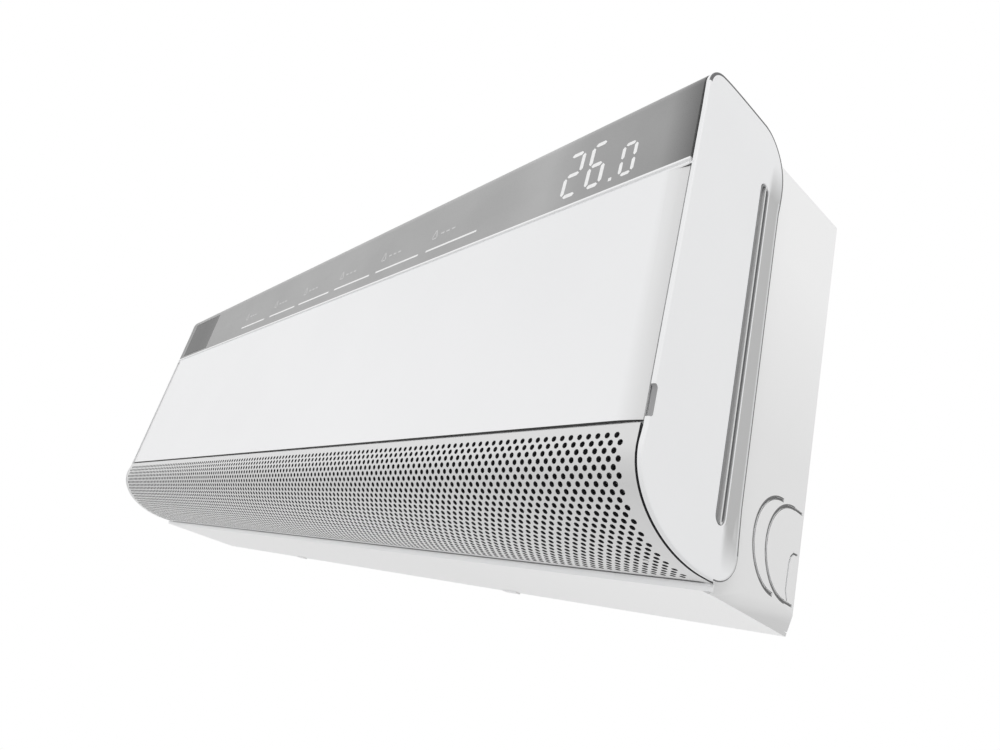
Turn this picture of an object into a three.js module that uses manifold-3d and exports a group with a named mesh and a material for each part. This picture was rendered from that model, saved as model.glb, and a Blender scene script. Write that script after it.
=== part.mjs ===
// Wall-mounted mini split indoor unit, in millimetres, +Z up.
// X runs along the width, the front faces -Y and the wall is the plane Y = 0.
// Heights are measured from the underside, and the whole unit is then lowered so
// that the origin is the middle of the wall plate's back face.
import * as THREE from 'three';
import { mergeVertices } from 'three/addons/utils/BufferGeometryUtils.js';
import Module from 'manifold-3d';

const wasm = await Module();
wasm.setup();

// ---------------------------------------------------------------- outer form
const WIDTH = 968;              // over the two side plates
const HEIGHT = 332;             // top of the casing at the wall
const TOP_SLOPE = 0.065;        // fall of the top towards the front, mm per mm
const LEAN = 0.043;             // how far the front leans out, mm per mm of height
const SEAM_Z = 65;              // seam between the panel and the flap
const SEAM_DEPTH = 195;         // wall to the front face at that seam
const FLAP_REACH = 77;          // front-to-back radius of the flap's curve
const FLAP_BEND_Z = 53;         // height where the flap's curve starts
const FLAP_BOTTOM = 4.5;        // lowest face of the flap
const NOSE_RADIUS = 16;         // rounded top front edge
const NOSE_DROP = 29.6;         // centre of that edge below the top at the wall
const NOSE_SWEEP = 68;          // degrees of the rounded edge
const CROWN_DEPTH = SEAM_DEPTH - 45;   // wall to the start of the rounded crown
const CASE_OVERHANG = 9.7;      // side plate standing out from the casing
const WALL_GAP = 0.5;           // casing to the wall
const HALF = WIDTH / 2;
const CASE_X = HALF - CASE_OVERHANG;

// ------------------------------------------------------- walls and clearances
const GAP = 0.4;                // between pieces that touch
const REVEAL = 2.2;             // visible joint between panel and flap
const GROOVE = 1.6;             // shadow line between panel and trim
const BOND = 0.1;               // trim to the band it is bonded under
const WALL = 2.5;               // moulded walls
const PANEL_T = 3;              // front panel and display band
const FLAP_T = 2.6;             // flap skin
const FRAME_INSET = 3.6;        // casing's front frame behind the panel's face
const END_GAP = 1.6;            // panel and flap ends to the side plates' lips
const LIP_T = 3;                // outer lip of the side plates
const LIP_BEVEL = 0.7;          // chamfer round the lip's outer face
const LIP_SETBACK = 1;          // lip behind the panel's face
const SWING_ROOM = 4.5;         // fixed pieces behind the flap's outer face

// ------------------------------------------------------------ front and sides
const NOSE_Z = HEIGHT - NOSE_DROP;
const BAND_HEIGHT = 60.4;       // straight height of the display band
const BAND_Z = NOSE_Z - BAND_HEIGHT;
const TRIM_HEIGHT = 1.6;        // bright strip under the band
const TRIM_Z = BAND_Z - BOND - TRIM_HEIGHT;
const WINDOW = {                // sensor window in the band
  left: 20 - HALF, right: 120 - HALF, bottom: BAND_Z + 3, top: NOSE_Z - 1,
};
const EDGE_ROLL = 20;           // width of the panel's rolled side edges
const EDGE_DROP = 1.6;          // how far those edges roll back
const PIVOT_R = 1.2;            // panel pivot pins
const PIN_ROOM = 0.4;           // round every pivot pin
const PLATE_DEPTH = 110;        // side plate, front to back
const PLATE_FOOT_R = 18;        // its lower back corner
const PLATE_TOP_RY = 33;        // its upper back corner, front to back
const PLATE_TOP_RZ = 40;        // and its height
const SLOT_WIDTH = 10.5;        // side air slot
const SLOT_BOTTOM = 36;
const SLOT_TOP = HEIGHT - 55;
const SLOT_SETBACK = 79;        // slot's centre line behind the front face
const ROLL_IN = 2.5;            // side plate turning in behind the slot
const NOTCH = { bottom: 67, top: 88, from: 1.6, to: 6.4, depth: 1.6 };   // finger notch
const SCORE_DEPTH = 0.8;        // scored lines round the pipe knock-outs
const SCORE_WIDTH = 1.5;
const UNDERCUT = 3.5;           // casing's lower side edge tucks in at the wall
const UNDERCUT_HEIGHT = 20;

// ------------------------------------------------------------- flap and swing
const FLAP_PIVOT = { y: 79 - SEAM_DEPTH, z: 16 };
const CURL_R = 15.9;            // rear curl of the flap round its pivot
const CURL_END = -10;           // degrees where the curl stops
const CORNER_CUT = 8.8;         // rounded rear corners of the flap
const FOOT_DEPTH = -FLAP_PIVOT.y - 17.5;   // casing's side walls end here below FOOT_Z
const FOOT_Z = 34;
const LUG_T = 3;                // arms that carry the flap
const LUG_SETBACK = 26;         // flap end to its arm
const LUG_R = 6;
const HUB_R = 8;                // casing tongues that carry the flap's pivots
const SHAFT_R = 2;
const STEPPER_R = 9;            // small stepper motors
const STEPPER_T = 10.8;
const STEPPER_OFFSET = 8;       // motor's axis to its output shaft
const STEPPER_LEAN = 120;       // degrees of that offset, clear of the flap's curl
const FLAP_FACETS = 16;
const HOLE_ROWS = 4;            // air holes through the flap
const HOLE_COLUMNS = 20;
const HOLE_MARGIN = 30;         // flap end to the nearest of them
const HOLE_R = 2.2;

// ------------------------------------------------------------------- air path
const DUCT_LEFT = 34 - HALF;
const BULKHEAD_X = HALF - 139;  // wall between the fan and the motor bay
const FAN_Y = 97 - SEAM_DEPTH;
const FAN_Z = 118;
const FAN_R = 50;
const FAN_LEFT = DUCT_LEFT + 32;
const FAN_RIGHT = BULKHEAD_X - 7;
const FAN_BLADES = 14;
const FAN_SECTIONS = 3;
const RING_T = 3;
const RING_WIDTH = 14;
const SCROLL_GAP = 8;           // fan to scroll at the top
const SCROLL_GROWTH = 18;       // added by the bottom of the scroll
const SCROLL_START = 50;        // degrees round the fan's axis
const SCROLL_END = -62;
const TONGUE_GAP = 5.5;         // fan to the tray's tongue
const THROAT_END = { y: FLAP_PIVOT.y + 17.7, z: FLAP_PIVOT.z - 1.3 };
const TRAY_T = 3;
const TRAY_FLOOR = 95;
const DRAIN_Y = 23 - SEAM_DEPTH;
const DRAIN_Z = 101;
const DRAIN_R = 5;
const SPOUT_LENGTH = 24;
const BAY_FLOOR = 64;           // motor bay floor
const CLAMP_FOOT = 12;
const MOTOR_R = 38;
const MOTOR_LEFT = BULKHEAD_X + 11;
const MOTOR_RIGHT = MOTOR_LEFT + 48;

// ---------------------------------------------------------------------- vanes
const VANES_PER_GROUP = 5;
const VANE_PITCH = (BULKHEAD_X - DUCT_LEFT) / (2 * VANES_PER_GROUP);
const VANE_T = 1.6;
const VANE_RUN = 30;            // start of the straight throat to the vane pivots
const VANE_PIN_R = 1.6;
const RAIL_T = 4;
const RAIL_END = 16;            // rail beyond its outer vanes
const LINK_PIN_R = 1.2;
const LINK_ARM = 10;            // vane pivot to the link's pins
const LINK_LEVEL = 24;          // link above the throat floor
const LINK_T = 2;
const LINK_WIDTH = 8;

// -------------------------------------------------------------- heat exchanger
const COIL_T = 22;
const COIL_LEFT = DUCT_LEFT + 16;
const COIL_RIGHT = BULKHEAD_X - 18;
const COIL_FINS = 14;           // grooves that stand for the fin stacks
const FIN_GROOVE = 3;
const SHEET_T = 1.6;
const BEND_R = 3.5;

// --------------------------------------------------------- filters and grille
const FILTER_T = 3;
const FILTER_REAR = 26;         // wall to the filters' rear edge
const FILTER_FRONT = CROWN_DEPTH - 1;   // wall to their front edge
const FILTER_ROOM = 1;
const GRILLE_T = 3;
const LEDGE = 6;

// ------------------------------------------------------------- wall and pipes
const PLATE = { width: 720, bottom: 35, top: HEIGHT - 37, thickness: 1.5 };
const BACK_DEPTH = 14;          // wall to the chassis back
const GAS_R = 4.8;
const LIQUID_R = 3.2;
const PIPE_Y = -24;
const GAS_NUT_R = 9;            // across the corners of the flare nuts
const LIQUID_NUT_R = 7;
const GAS = { leave: [-37, 214], down: BULKHEAD_X + 83, run: 40, end: -60 };
const LIQUID = { leave: [-59, 248], down: BULKHEAD_X + 103, run: 22, end: -20 };
const HOOKS = [-250, 0, 250];   // hanging hooks along the wall plate
const CONTROL = {               // box of electrics at the right-hand end
  left: HALF - 66, right: HALF - 18, bottom: 150, top: HEIGHT - 46,
  back: 34, front: SEAM_DEPTH - 19,
};
const BUTTON = { x: BULKHEAD_X + 82, z: 150, radius: 3.2, flange: 5.5 };

// ------------------------------------------------------------------ materials
const WHITE = 0xe9eaeb;
const finish = (color, roughness, metalness = 0) =>
  new THREE.MeshStandardMaterial({ color, roughness, metalness });
const whitePlastic = () => finish(WHITE, 0.45);
const greyPlastic = () => finish(0x8d8f92, 0.5);
const darkPlastic = () => finish(0x2b2c2e, 0.5);
const blackPlastic = () => finish(0x1b1c1e, 0.55);
const smokedLens = () => finish(0x8c8e91, 0.12);
const steel = () => finish(0xb4b7ba, 0.35, 0.9);
const aluminium = () => finish(0xc9ccd0, 0.4, 0.8);
const copper = () => finish(0xb4693f, 0.35, 0.9);
const brass = () => finish(0xc2a25a, 0.35, 0.9);
const rubber = () => finish(0x222222, 0.85);
const board = () => finish(0x1f5a3a, 0.6);

// -------------------------------------------------------------- solid helpers
function toSolid(geometry) {
  const bare = geometry.clone();
  bare.deleteAttribute('normal');
  bare.deleteAttribute('uv');
  const merged = mergeVertices(bare, 1e-4);
  const index = merged.index.array;
  return new wasm.Manifold(new wasm.Mesh({
    numProp: 3,
    vertProperties: Float32Array.from(merged.attributes.position.array),
    triVerts: Uint32Array.from(index),
  }));
}

function toGeometry(solid) {
  const mesh = solid.getMesh();
  const geometry = new THREE.BufferGeometry();
  geometry.setAttribute('position', new THREE.BufferAttribute(mesh.vertProperties, 3));
  geometry.setIndex(new THREE.BufferAttribute(mesh.triVerts, 1));
  return geometry;
}

const join = (...solids) => solids.reduce((sum, solid) => sum.add(solid));
const cut = (body, ...tools) => tools.reduce((left, tool) => left.subtract(tool), body);

function shapeOf(points, holes = []) {
  const vectors = (list) => list.map(([u, v]) => new THREE.Vector2(u, v));
  const shape = new THREE.Shape(vectors(points));
  shape.holes = holes.map((hole) => new THREE.Path(vectors(hole)));
  return shape;
}

function extrude(points, from, to, axes, holes, bevel = 0) {
  const options = {
    depth: to - from - 2 * bevel, steps: 1, bevelEnabled: bevel > 0, bevelSegments: 1,
    bevelThickness: bevel, bevelSize: bevel, bevelOffset: -bevel,
  };
  const geometry = new THREE.ExtrudeGeometry(shapeOf(points, holes), options);
  geometry.translate(0, 0, from + bevel);
  geometry.applyMatrix4(new THREE.Matrix4().makeBasis(...axes));
  return toSolid(geometry);
}

const hull = (points) => wasm.Manifold.hull(points);

const AXIS_X = new THREE.Vector3(1, 0, 0);
const AXIS_Y = new THREE.Vector3(0, 1, 0);
const AXIS_Z = new THREE.Vector3(0, 0, 1);

// Extrusions of a [y, z] outline along X, an [x, y] outline along Z,
// and a [z, x] outline along Y.
const alongX = (points, x0, x1, holes) =>
  extrude(points, x0, x1, [AXIS_Y, AXIS_Z, AXIS_X], holes);
const alongZ = (points, z0, z1, holes) =>
  extrude(points, z0, z1, [AXIS_X, AXIS_Y, AXIS_Z], holes);
const alongY = (points, y0, y1, holes) =>
  extrude(points, y0, y1, [AXIS_Z, AXIS_X, AXIS_Y], holes);

const rectangle = (u0, u1, v0, v1) => [[u0, v0], [u1, v0], [u1, v1], [u0, v1]];
const box = (x0, x1, y0, y1, z0, z1) => alongX(rectangle(y0, y1, z0, z1), x0, x1);

const radians = THREE.MathUtils.degToRad;

function arc(centreU, centreV, radiusU, radiusV, from, to, steps) {
  return Array.from({ length: steps + 1 }, (_, i) => {
    const angle = radians(from + (to - from) * i / steps);
    return [centreU + radiusU * Math.cos(angle), centreV + radiusV * Math.sin(angle)];
  });
}

const circle = (u, v, radius, sides) => arc(u, v, radius, radius, 0, 360, sides).slice(0, -1);
const rodX = (x0, x1, y, z, radius, sides = 16) => alongX(circle(y, z, radius, sides), x0, x1);
const rodZ = (x, y, z0, z1, radius, sides = 16) => alongZ(circle(x, y, radius, sides), z0, z1);
const rodY = (x, z, y0, y1, radius, sides = 16) => alongY(circle(z, x, radius, sides), y0, y1);
const mirrorX = (solid) => solid.mirror([1, 0, 0]);

// An open [u, v] line moved to its left by a distance.
function offsetLine(line, distance) {
  const normals = line.slice(1).map(([u, v], i) => {
    const du = u - line[i][0];
    const dv = v - line[i][1];
    const length = Math.hypot(du, dv);
    return [-dv / length, du / length];
  });
  return line.map(([u, v], i) => {
    const a = normals[Math.max(i - 1, 0)];
    const b = normals[Math.min(i, normals.length - 1)];
    const scale = distance / (1 + a[0] * b[0] + a[1] * b[1]);
    return [u + (a[0] + b[0]) * scale, v + (a[1] + b[1]) * scale];
  });
}

// A wall of even thickness along that line, added on its left.
const ribbon = (line, thickness) => [...line, ...offsetLine(line, thickness).reverse()];

// A route through corner points with its corners rounded off, as a tube.
class Route extends THREE.Curve {
  constructor(corners, radius, steps) {
    super();
    const vectors = corners.map((corner) => new THREE.Vector3(...corner));
    this.points = vectors.flatMap((corner, i) => {
      if (i === 0 || i === vectors.length - 1) return [corner];
      const towards = (other) => other.clone().sub(corner).setLength(radius).add(corner);
      const bend = new THREE.QuadraticBezierCurve3(
        towards(vectors[i - 1]), corner, towards(vectors[i + 1]));
      return bend.getPoints(steps);
    });
  }

  at(u) {
    return Math.round(u * (this.points.length - 1));
  }

  getPointAt(u) {
    return this.points[this.at(u)].clone();
  }

  getTangentAt(u) {
    const i = this.at(u);
    const before = this.points[Math.max(i - 1, 0)];
    const after = this.points[Math.min(i + 1, this.points.length - 1)];
    return after.clone().sub(before).normalize();
  }
}

function tube(corners, bendRadius, radius, sides, bendSteps = 4) {
  const route = new Route(corners, bendRadius, bendSteps);
  const options = { steps: route.points.length - 1, bevelEnabled: false, extrudePath: route };
  return toSolid(new THREE.ExtrudeGeometry(shapeOf(circle(0, 0, radius, sides)), options));
}

// ------------------------------------------------------------- outer profile
// Every curve takes an inset, so a skin, the frame behind it and the room
// between them all come from the same line.
const SKIN_X = HALF - LIP_T - END_GAP;
const PANEL_TOP = TRIM_Z - GROOVE;
const PANEL_BOTTOM = SEAM_Z + REVEAL / 2;
const FLAP_TOP = SEAM_Z - REVEAL / 2;
const FLAP_CURVE_Y = FLAP_REACH - SEAM_DEPTH;

const frontY = (z, inset = 0) => inset - SEAM_DEPTH - LEAN * (z - SEAM_Z);
const topZ = (y, inset = 0) => HEIGHT + TOP_SLOPE * y - inset;
const NOSE_Y = frontY(NOSE_Z) + NOSE_RADIUS;
const backY = (z) => frontY(z) + PLATE_DEPTH;

function flapCurve(inset, from = 180, to = 270, steps = 12) {
  const radiusZ = FLAP_BEND_Z - FLAP_BOTTOM - inset;
  return arc(FLAP_CURVE_Y, FLAP_BEND_Z, FLAP_REACH - inset, radiusZ, from, to, steps);
}

const noseArc = (inset, steps = 5) =>
  arc(NOSE_Y, NOSE_Z, NOSE_RADIUS - inset, NOSE_RADIUS - inset, 180, 180 - NOSE_SWEEP, steps);

// The crown leaves the nose at its end tangent and lands on the sloping top.
function crown(inset, steps = 6) {
  const start = noseArc(inset).at(-1);
  const end = [-CROWN_DEPTH, topZ(-CROWN_DEPTH, inset)];
  const rise = Math.tan(radians(90 - NOSE_SWEEP));
  const meetY = (end[1] - start[1] + rise * start[0] - TOP_SLOPE * end[0]) / (rise - TOP_SLOPE);
  const meet = [meetY, start[1] + rise * (meetY - start[0])];
  return Array.from({ length: steps + 1 }, (_, i) => {
    const t = i / steps;
    const weights = [(1 - t) * (1 - t), 2 * t * (1 - t), t * t];
    return [0, 1].map((k) => weights[0] * start[k] + weights[1] * meet[k] + weights[2] * end[k]);
  });
}

// Slides a solid with the leaning front.
function leanSolid(solid) {
  return solid.transform([1, 0, 0, 0, 0, 1, 0, 0, 0, -LEAN, 1, 0, 0, LEAN * SEAM_Z, 0, 1]);
}

// -------------------------------------------------------------------- casing
function bayOutline(inset) {
  const radiusZ = FLAP_BEND_Z - FLAP_BOTTOM - inset;
  const start = 180 + THREE.MathUtils.radToDeg(Math.asin((FLAP_BEND_Z - FOOT_Z) / radiusZ));
  return [
    [-WALL_GAP, 0], [-FOOT_DEPTH, 0], [-FOOT_DEPTH, FOOT_Z],
    ...flapCurve(inset, start, 180, 5),
    ...noseArc(inset), ...crown(inset).slice(1),
    [-WALL_GAP, topZ(-WALL_GAP)],
  ];
}

// Tucks the casing's lower side edge in towards the wall.
function undercutTool() {
  const depth = SEAM_DEPTH - 85;
  const side = CASE_X + GAP;
  const wall = 1;
  return hull([
    [side - UNDERCUT - GAP, wall, -1], [side + 1, wall, UNDERCUT_HEIGHT], [side + 1, wall, -1],
    [side, -depth, -1], [side + 1, -depth, 1], [side + 1, -depth, -1],
  ]);
}

// Scored lines of the pipe knock-outs, as [y, z] on the casing's side.
const SCORE_EDGE = -3;
const scoreLines = [
  arc(-30, 51, 32, 32.4, 90, 270, 10),
  [[SCORE_EDGE, 83.5], ...arc(-14, 51, 32, 32.4, 90, 270, 10), [SCORE_EDGE, 18.6]],
  [[SCORE_EDGE, 54.4], [-9, 53.8], [-12.5, 50.5], [-14.2, 45], [-14.6, 27], [-11, 20.4]],
];

const scoreTool = (line) =>
  alongX(ribbon(line, SCORE_WIDTH), CASE_X - SCORE_DEPTH, CASE_X + 1);

function casingSide() {
  const { y, z } = FLAP_PIVOT;
  const hub = join(
    box(CASE_X - WALL, CASE_X, y - HUB_R, y + HUB_R, z, FOOT_Z + 1),
    rodX(CASE_X - WALL, CASE_X, y, z, HUB_R));
  const side = join(alongX(bayOutline(SWING_ROOM), CASE_X - WALL, CASE_X), hub);
  const slot = slotTool(SLOT_WIDTH, CASE_X - WALL - 1, CASE_X + 1);
  return cut(side, slot, ...scoreLines.map(scoreTool));
}

function casingFront() {
  const foot = SEAM_Z - 9;
  const outer = [[frontY(foot, FRAME_INSET), foot], ...noseArc(FRAME_INSET)];
  const inner = [
    [frontY(foot, FRAME_INSET + WALL), foot], ...noseArc(FRAME_INSET + WALL)];
  const skin = [
    ...crown(0).map(([y, z]) => [y + GAP, z]), [-CROWN_DEPTH, topZ(-CROWN_DEPTH, WALL)]];
  const under = crown(WALL).slice(1, -1).reverse();
  const profile = [...outer, ...skin, ...under, ...inner.reverse()];
  const front = alongX(profile, -CASE_X + 1, CASE_X - 1);
  const near = -SEAM_DEPTH - 40;
  const far = -SEAM_DEPTH + 40;
  const opening = box(COIL_LEFT - 4, BUTTON.x - 20, near, far, 92, PANEL_TOP - 12);
  const button = rodY(BUTTON.x, BUTTON.z, near, far, BUTTON.radius + 0.6, 12);
  return cut(front, opening, button);
}

function casingTop() {
  const bar = (from, to) => alongX([
    [-from, topZ(-from)], [-to, topZ(-to)], [-to, topZ(-to, WALL)], [-from, topZ(-from, WALL)],
  ], -CASE_X + 1, CASE_X - 1);
  const shelf = FILTER_T + GRILLE_T + 3 * GAP;
  const ledge = (from, to, web) => alongX([
    [-from, topZ(-from, shelf)], [-to, topZ(-to, shelf)],
    [-to, topZ(-to, shelf + 2)], [-from, topZ(-from, shelf + 2)],
  ], -CASE_X + 1, CASE_X - 1).add(alongX([
    [-web, topZ(-web, 1)], [-web - 2, topZ(-web - 2, 1)],
    [-web - 2, topZ(-web, shelf + 2)], [-web, topZ(-web, shelf + 2)],
  ], -CASE_X + 1, CASE_X - 1));
  const rear = FILTER_REAR - FILTER_ROOM;
  const front = FILTER_FRONT + FILTER_ROOM;
  return join(
    bar(WALL_GAP, rear),
    ledge(rear - 3, rear + LEDGE, rear - 2),
    ledge(front - LEDGE, front + 3, front));
}

function casingUnderside() {
  const lip = arc(FLAP_PIVOT.y, FLAP_PIVOT.z, CURL_R + 0.6, CURL_R + 0.6, -51, -30, 3);
  const lipBack = arc(FLAP_PIVOT.y, FLAP_PIVOT.z, CURL_R + 3.4, CURL_R + 3.4, -51, -30, 3);
  const profile = [
    [-WALL_GAP, 0], [lip[0][0], 0], ...lip, ...lipBack.reverse(),
    [lipBack.at(-1)[0] + 3, WALL], [-WALL_GAP, WALL],
  ];
  const tabs = [-214, 209].map((x) => box(x - 9, x + 9, -WALL_GAP - 6, -WALL_GAP, -1.2, 1));
  return join(alongX(profile, -CASE_X + 1, CASE_X - 1), ...tabs);
}

function casing() {
  const side = casingSide();
  const shell = join(side, mirrorX(side), casingFront(), casingTop(), casingUnderside());
  const tool = undercutTool();
  return cut(shell, tool, mirrorX(tool));
}

// --------------------------------------------------------------- side plates
function plateOutline(inset, setback = inset) {
  const footZ = FLAP_BOTTOM + PLATE_FOOT_R;
  const foot = arc(backY(footZ) - PLATE_FOOT_R, footZ,
    PLATE_FOOT_R - inset, PLATE_FOOT_R - inset, 0, -90, 5);
  const cornerY = backY(NOSE_Z) - PLATE_TOP_RY;
  const cornerZ = topZ(cornerY) - PLATE_TOP_RZ;
  const corner = arc(cornerY, cornerZ, PLATE_TOP_RY - inset, PLATE_TOP_RZ - inset, 90, 0, 6);
  return [
    ...foot, ...flapCurve(inset, 270, 180),
    ...[SEAM_Z + 4, BAND_Z].map((z) => [frontY(z, setback), z]),
    ...noseArc(inset), ...crown(inset).slice(1), ...corner,
  ];
}

// The lip, chamfered round its outer face.
function plateLip() {
  const outline = plateOutline(0.3, LIP_SETBACK);
  const face = extrude(outline, HALF - 2 * LIP_BEVEL, HALF, [AXIS_Y, AXIS_Z, AXIS_X], [], LIP_BEVEL);
  return alongX(outline, HALF - LIP_T, HALF - LIP_BEVEL).add(face);
}

function slotOutline(width) {
  const centre = -SEAM_DEPTH + SLOT_SETBACK;
  const radius = width / 2;
  const shrink = (SLOT_WIDTH - width) / 2;
  return [
    ...arc(centre, SLOT_TOP - shrink - radius, radius, radius, 0, 180, 6),
    ...arc(centre, SLOT_BOTTOM + shrink + radius, radius, radius, 180, 360, 6),
  ];
}

const slotTool = (width, x0, x1) => leanSolid(alongX(slotOutline(width), x0, x1));

// Behind the slot the plate's outer face turns in as one flat facet that
// fades out above the slot and towards the foot.
function rollInTool() {
  const crease = SLOT_SETBACK + SLOT_WIDTH / 2 + 1;
  const rear = PLATE_DEPTH + 1;
  const at = (depth, x, z) => [x, frontY(z) + depth, z];
  const inner = [
    at(crease + 8, HALF, 2), at(crease, HALF, SLOT_BOTTOM), at(crease, HALF, SLOT_TOP),
    at(crease - 8, HALF, HEIGHT), at(rear, HALF - ROLL_IN, SLOT_BOTTOM - 12),
    at(rear, HALF - ROLL_IN, SLOT_TOP + 12),
  ];
  const outer = inner.map(([, y, z]) => [HALF + 2, y, z]);
  const corners = [-4, HEIGHT + 4].flatMap((z) => [2, -0.5].map((x) => at(rear, HALF + x, z)));
  return hull([...inner, ...outer, ...corners]);
}

function sidePlate() {
  const outline = plateOutline(SWING_ROOM);
  const inner = alongX(outline, CASE_X + GAP, HALF - LIP_T + 0.1);
  const clearance = box(CASE_X, HALF - LIP_T, -SEAM_DEPTH, -FOOT_DEPTH, -5, FOOT_Z);
  const slot = slotTool(SLOT_WIDTH, CASE_X - 1, HALF + 1);
  const pin = rodX(HALF - LIP_T - 1, HALF - 1, panelAxis.y, panelAxis.z, PIVOT_R + PIN_ROOM, 8);
  return cut(plateLip().add(cut(inner, clearance)), slot, rollInTool(), pin);
}

// The pill-shaped finger notch, in the right-hand plate only.
function notchTool() {
  const radius = (NOTCH.to - NOTCH.from) / 2;
  const centre = -SEAM_DEPTH + NOTCH.from + radius;
  const outline = [
    ...arc(centre, NOTCH.top - radius, radius, radius, 0, 180, 6),
    ...arc(centre, NOTCH.bottom + radius, radius, radius, 180, 360, 6),
  ];
  return leanSolid(alongX(outline, HALF - NOTCH.depth, HALF + 1));
}

// A lined air slot with one upright guide fin.
function slotGuide() {
  const x0 = CASE_X - WALL;
  const x1 = HALF - 0.3;
  const outer = SLOT_WIDTH - 2 * GAP;
  const ring = cut(slotTool(outer, x0, x1), slotTool(outer - 2.4, x0 - 1, x1 + 1));
  const front = -SEAM_DEPTH + SLOT_SETBACK + 1;
  const fin = leanSolid(box(x0, x1 - 0.5, front, front + 1.4, SLOT_BOTTOM + 1, SLOT_TOP - 1));
  return ring.add(fin);
}

// --------------------------------------------------------- band, trim, panel
const panelAxis = {
  y: frontY(PANEL_TOP, PANEL_T / 2),
  z: PANEL_TOP - PANEL_T / 2,
};

function displayBand() {
  const outer = [[frontY(BAND_Z), BAND_Z], ...noseArc(0)];
  const inner = [[frontY(BAND_Z, PANEL_T), BAND_Z], ...noseArc(PANEL_T)];
  const band = alongX([...outer, ...inner.reverse()], -SKIN_X, SKIN_X);
  const { left, right, bottom, top } = WINDOW;
  return cut(band, box(left, right, -SEAM_DEPTH - 30, -SEAM_DEPTH + 30, bottom, top));
}

function sensorWindow() {
  const low = WINDOW.bottom + GAP;
  const high = WINDOW.top - GAP;
  return alongX([
    [frontY(low), low], [frontY(high), high],
    [frontY(high, PANEL_T - 0.4), high], [frontY(low, PANEL_T - 0.4), low],
  ], WINDOW.left + GAP, WINDOW.right - GAP);
}

function bandTrim() {
  const top = TRIM_Z + TRIM_HEIGHT;
  return alongX([
    [frontY(TRIM_Z, -0.3), TRIM_Z], [frontY(top, -0.3), top],
    [frontY(top, PANEL_T), top], [frontY(TRIM_Z, PANEL_T), TRIM_Z],
  ], -SKIN_X, SKIN_X);
}

function frontPanel() {
  const front = -SEAM_DEPTH;
  const roll = Array.from({ length: 5 }, (_, i) => {
    const t = i / 4;
    return [SKIN_X - EDGE_ROLL * (1 - t), front + EDGE_DROP * t * t];
  });
  const left = roll.map(([x, y]) => [-x, y]).reverse();
  const plan = [...left, ...roll, [SKIN_X, front + PANEL_T], [-SKIN_X, front + PANEL_T]];
  const sheet = leanSolid(alongZ(plan, PANEL_BOTTOM, panelAxis.z));
  const bead = rodX(-SKIN_X, SKIN_X, panelAxis.y, panelAxis.z, PANEL_T / 2, 12);
  const reach = SKIN_X + END_GAP + 1;
  const pins = rodX(-reach, reach, panelAxis.y, panelAxis.z, PIVOT_R, 8);
  return join(sheet, bead, pins);
}

// ---------------------------------------------------------------------- flap
function flapSkin() {
  const curl = (radius) => arc(FLAP_PIVOT.y, FLAP_PIVOT.z, radius, radius, -46, CURL_END, 4);
  const side = (inset) => [
    [inset - SEAM_DEPTH, FLAP_TOP], ...flapCurve(inset, 180, 270, FLAP_FACETS),
    ...curl(CURL_R - inset),
  ];
  const outer = side(0);
  const skin = alongX([...outer, ...side(FLAP_T).reverse()], -SKIN_X, SKIN_X);
  const rear = FLAP_PIVOT.y + CURL_R;
  const inner = SKIN_X - CORNER_CUT;
  const centre = FLAP_PIVOT.y + 12 - CORNER_CUT;
  const corner = alongZ([
    [inner, rear + 1], ...arc(inner, centre, CORNER_CUT, CORNER_CUT, 90, 0, 5),
    [SKIN_X + 1, centre], [SKIN_X + 1, rear + 1],
  ], -5, FOOT_Z);
  return cut(skin, corner, mirrorX(corner));
}

const LUG_X = SKIN_X - LUG_SETBACK;

function flapLug(x0, x1) {
  const foot = FLAP_BOTTOM + FLAP_T / 2;
  const arm = alongX([
    [FLAP_PIVOT.y - 22, foot], [FLAP_PIVOT.y + 6, foot], [FLAP_PIVOT.y + LUG_R, FLAP_PIVOT.z],
    [FLAP_PIVOT.y - LUG_R, FLAP_PIVOT.z],
  ], x0, x1);
  return arm.add(rodX(x0, x1, FLAP_PIVOT.y, FLAP_PIVOT.z, LUG_R));
}

// Staggered rows of air holes, each drilled square through its own facet.
function flapHoles() {
  const field = SKIN_X - HOLE_MARGIN;
  const pitch = 2 * field / HOLE_COLUMNS;
  const corners = flapCurve(0, 180, 270, FLAP_FACETS);
  return Array.from({ length: HOLE_ROWS * HOLE_COLUMNS }, (_, i) => {
    const row = Math.floor(i / HOLE_COLUMNS);
    const [from, to] = corners.slice(2 * row + 1, 2 * row + 3);
    const facing = THREE.MathUtils.radToDeg(Math.atan2(to[1] - from[1], to[0] - from[0]));
    const x = -field + pitch * (i % HOLE_COLUMNS + 0.25 + 0.5 * (row % 2));
    const drill = rodZ(x, 0, -5, 5, HOLE_R, 4).rotate([facing, 0, 0]);
    return drill.translate([0, (from[0] + to[0]) / 2, (from[1] + to[1]) / 2]);
  });
}

const onPivot = (x0, x1, radius, sides = 10) =>
  rodX(x0, x1, FLAP_PIVOT.y, FLAP_PIVOT.z, radius, sides);

function flap() {
  const right = cut(flapLug(LUG_X, LUG_X + LUG_T),
    onPivot(LUG_X - 1, LUG_X + LUG_T + 1, SHAFT_R + PIN_ROOM));
  const left = flapLug(-LUG_X - LUG_T, -LUG_X);
  const pin = onPivot(-LUG_X - LUG_T - 8, -LUG_X, SHAFT_R);
  return join(cut(flapSkin(), ...flapHoles()), right, left, pin);
}

function flapMotor() {
  const end = CASE_X - WALL - GAP;
  const start = end - STEPPER_T;
  const [[y, z]] = arc(FLAP_PIVOT.y, FLAP_PIVOT.z, STEPPER_OFFSET, STEPPER_OFFSET,
    STEPPER_LEAN, STEPPER_LEAN, 1);
  return join(
    rodX(start, end, y, z, STEPPER_R),
    onPivot(LUG_X + 0.5, start + 1, SHAFT_R));
}

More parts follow.
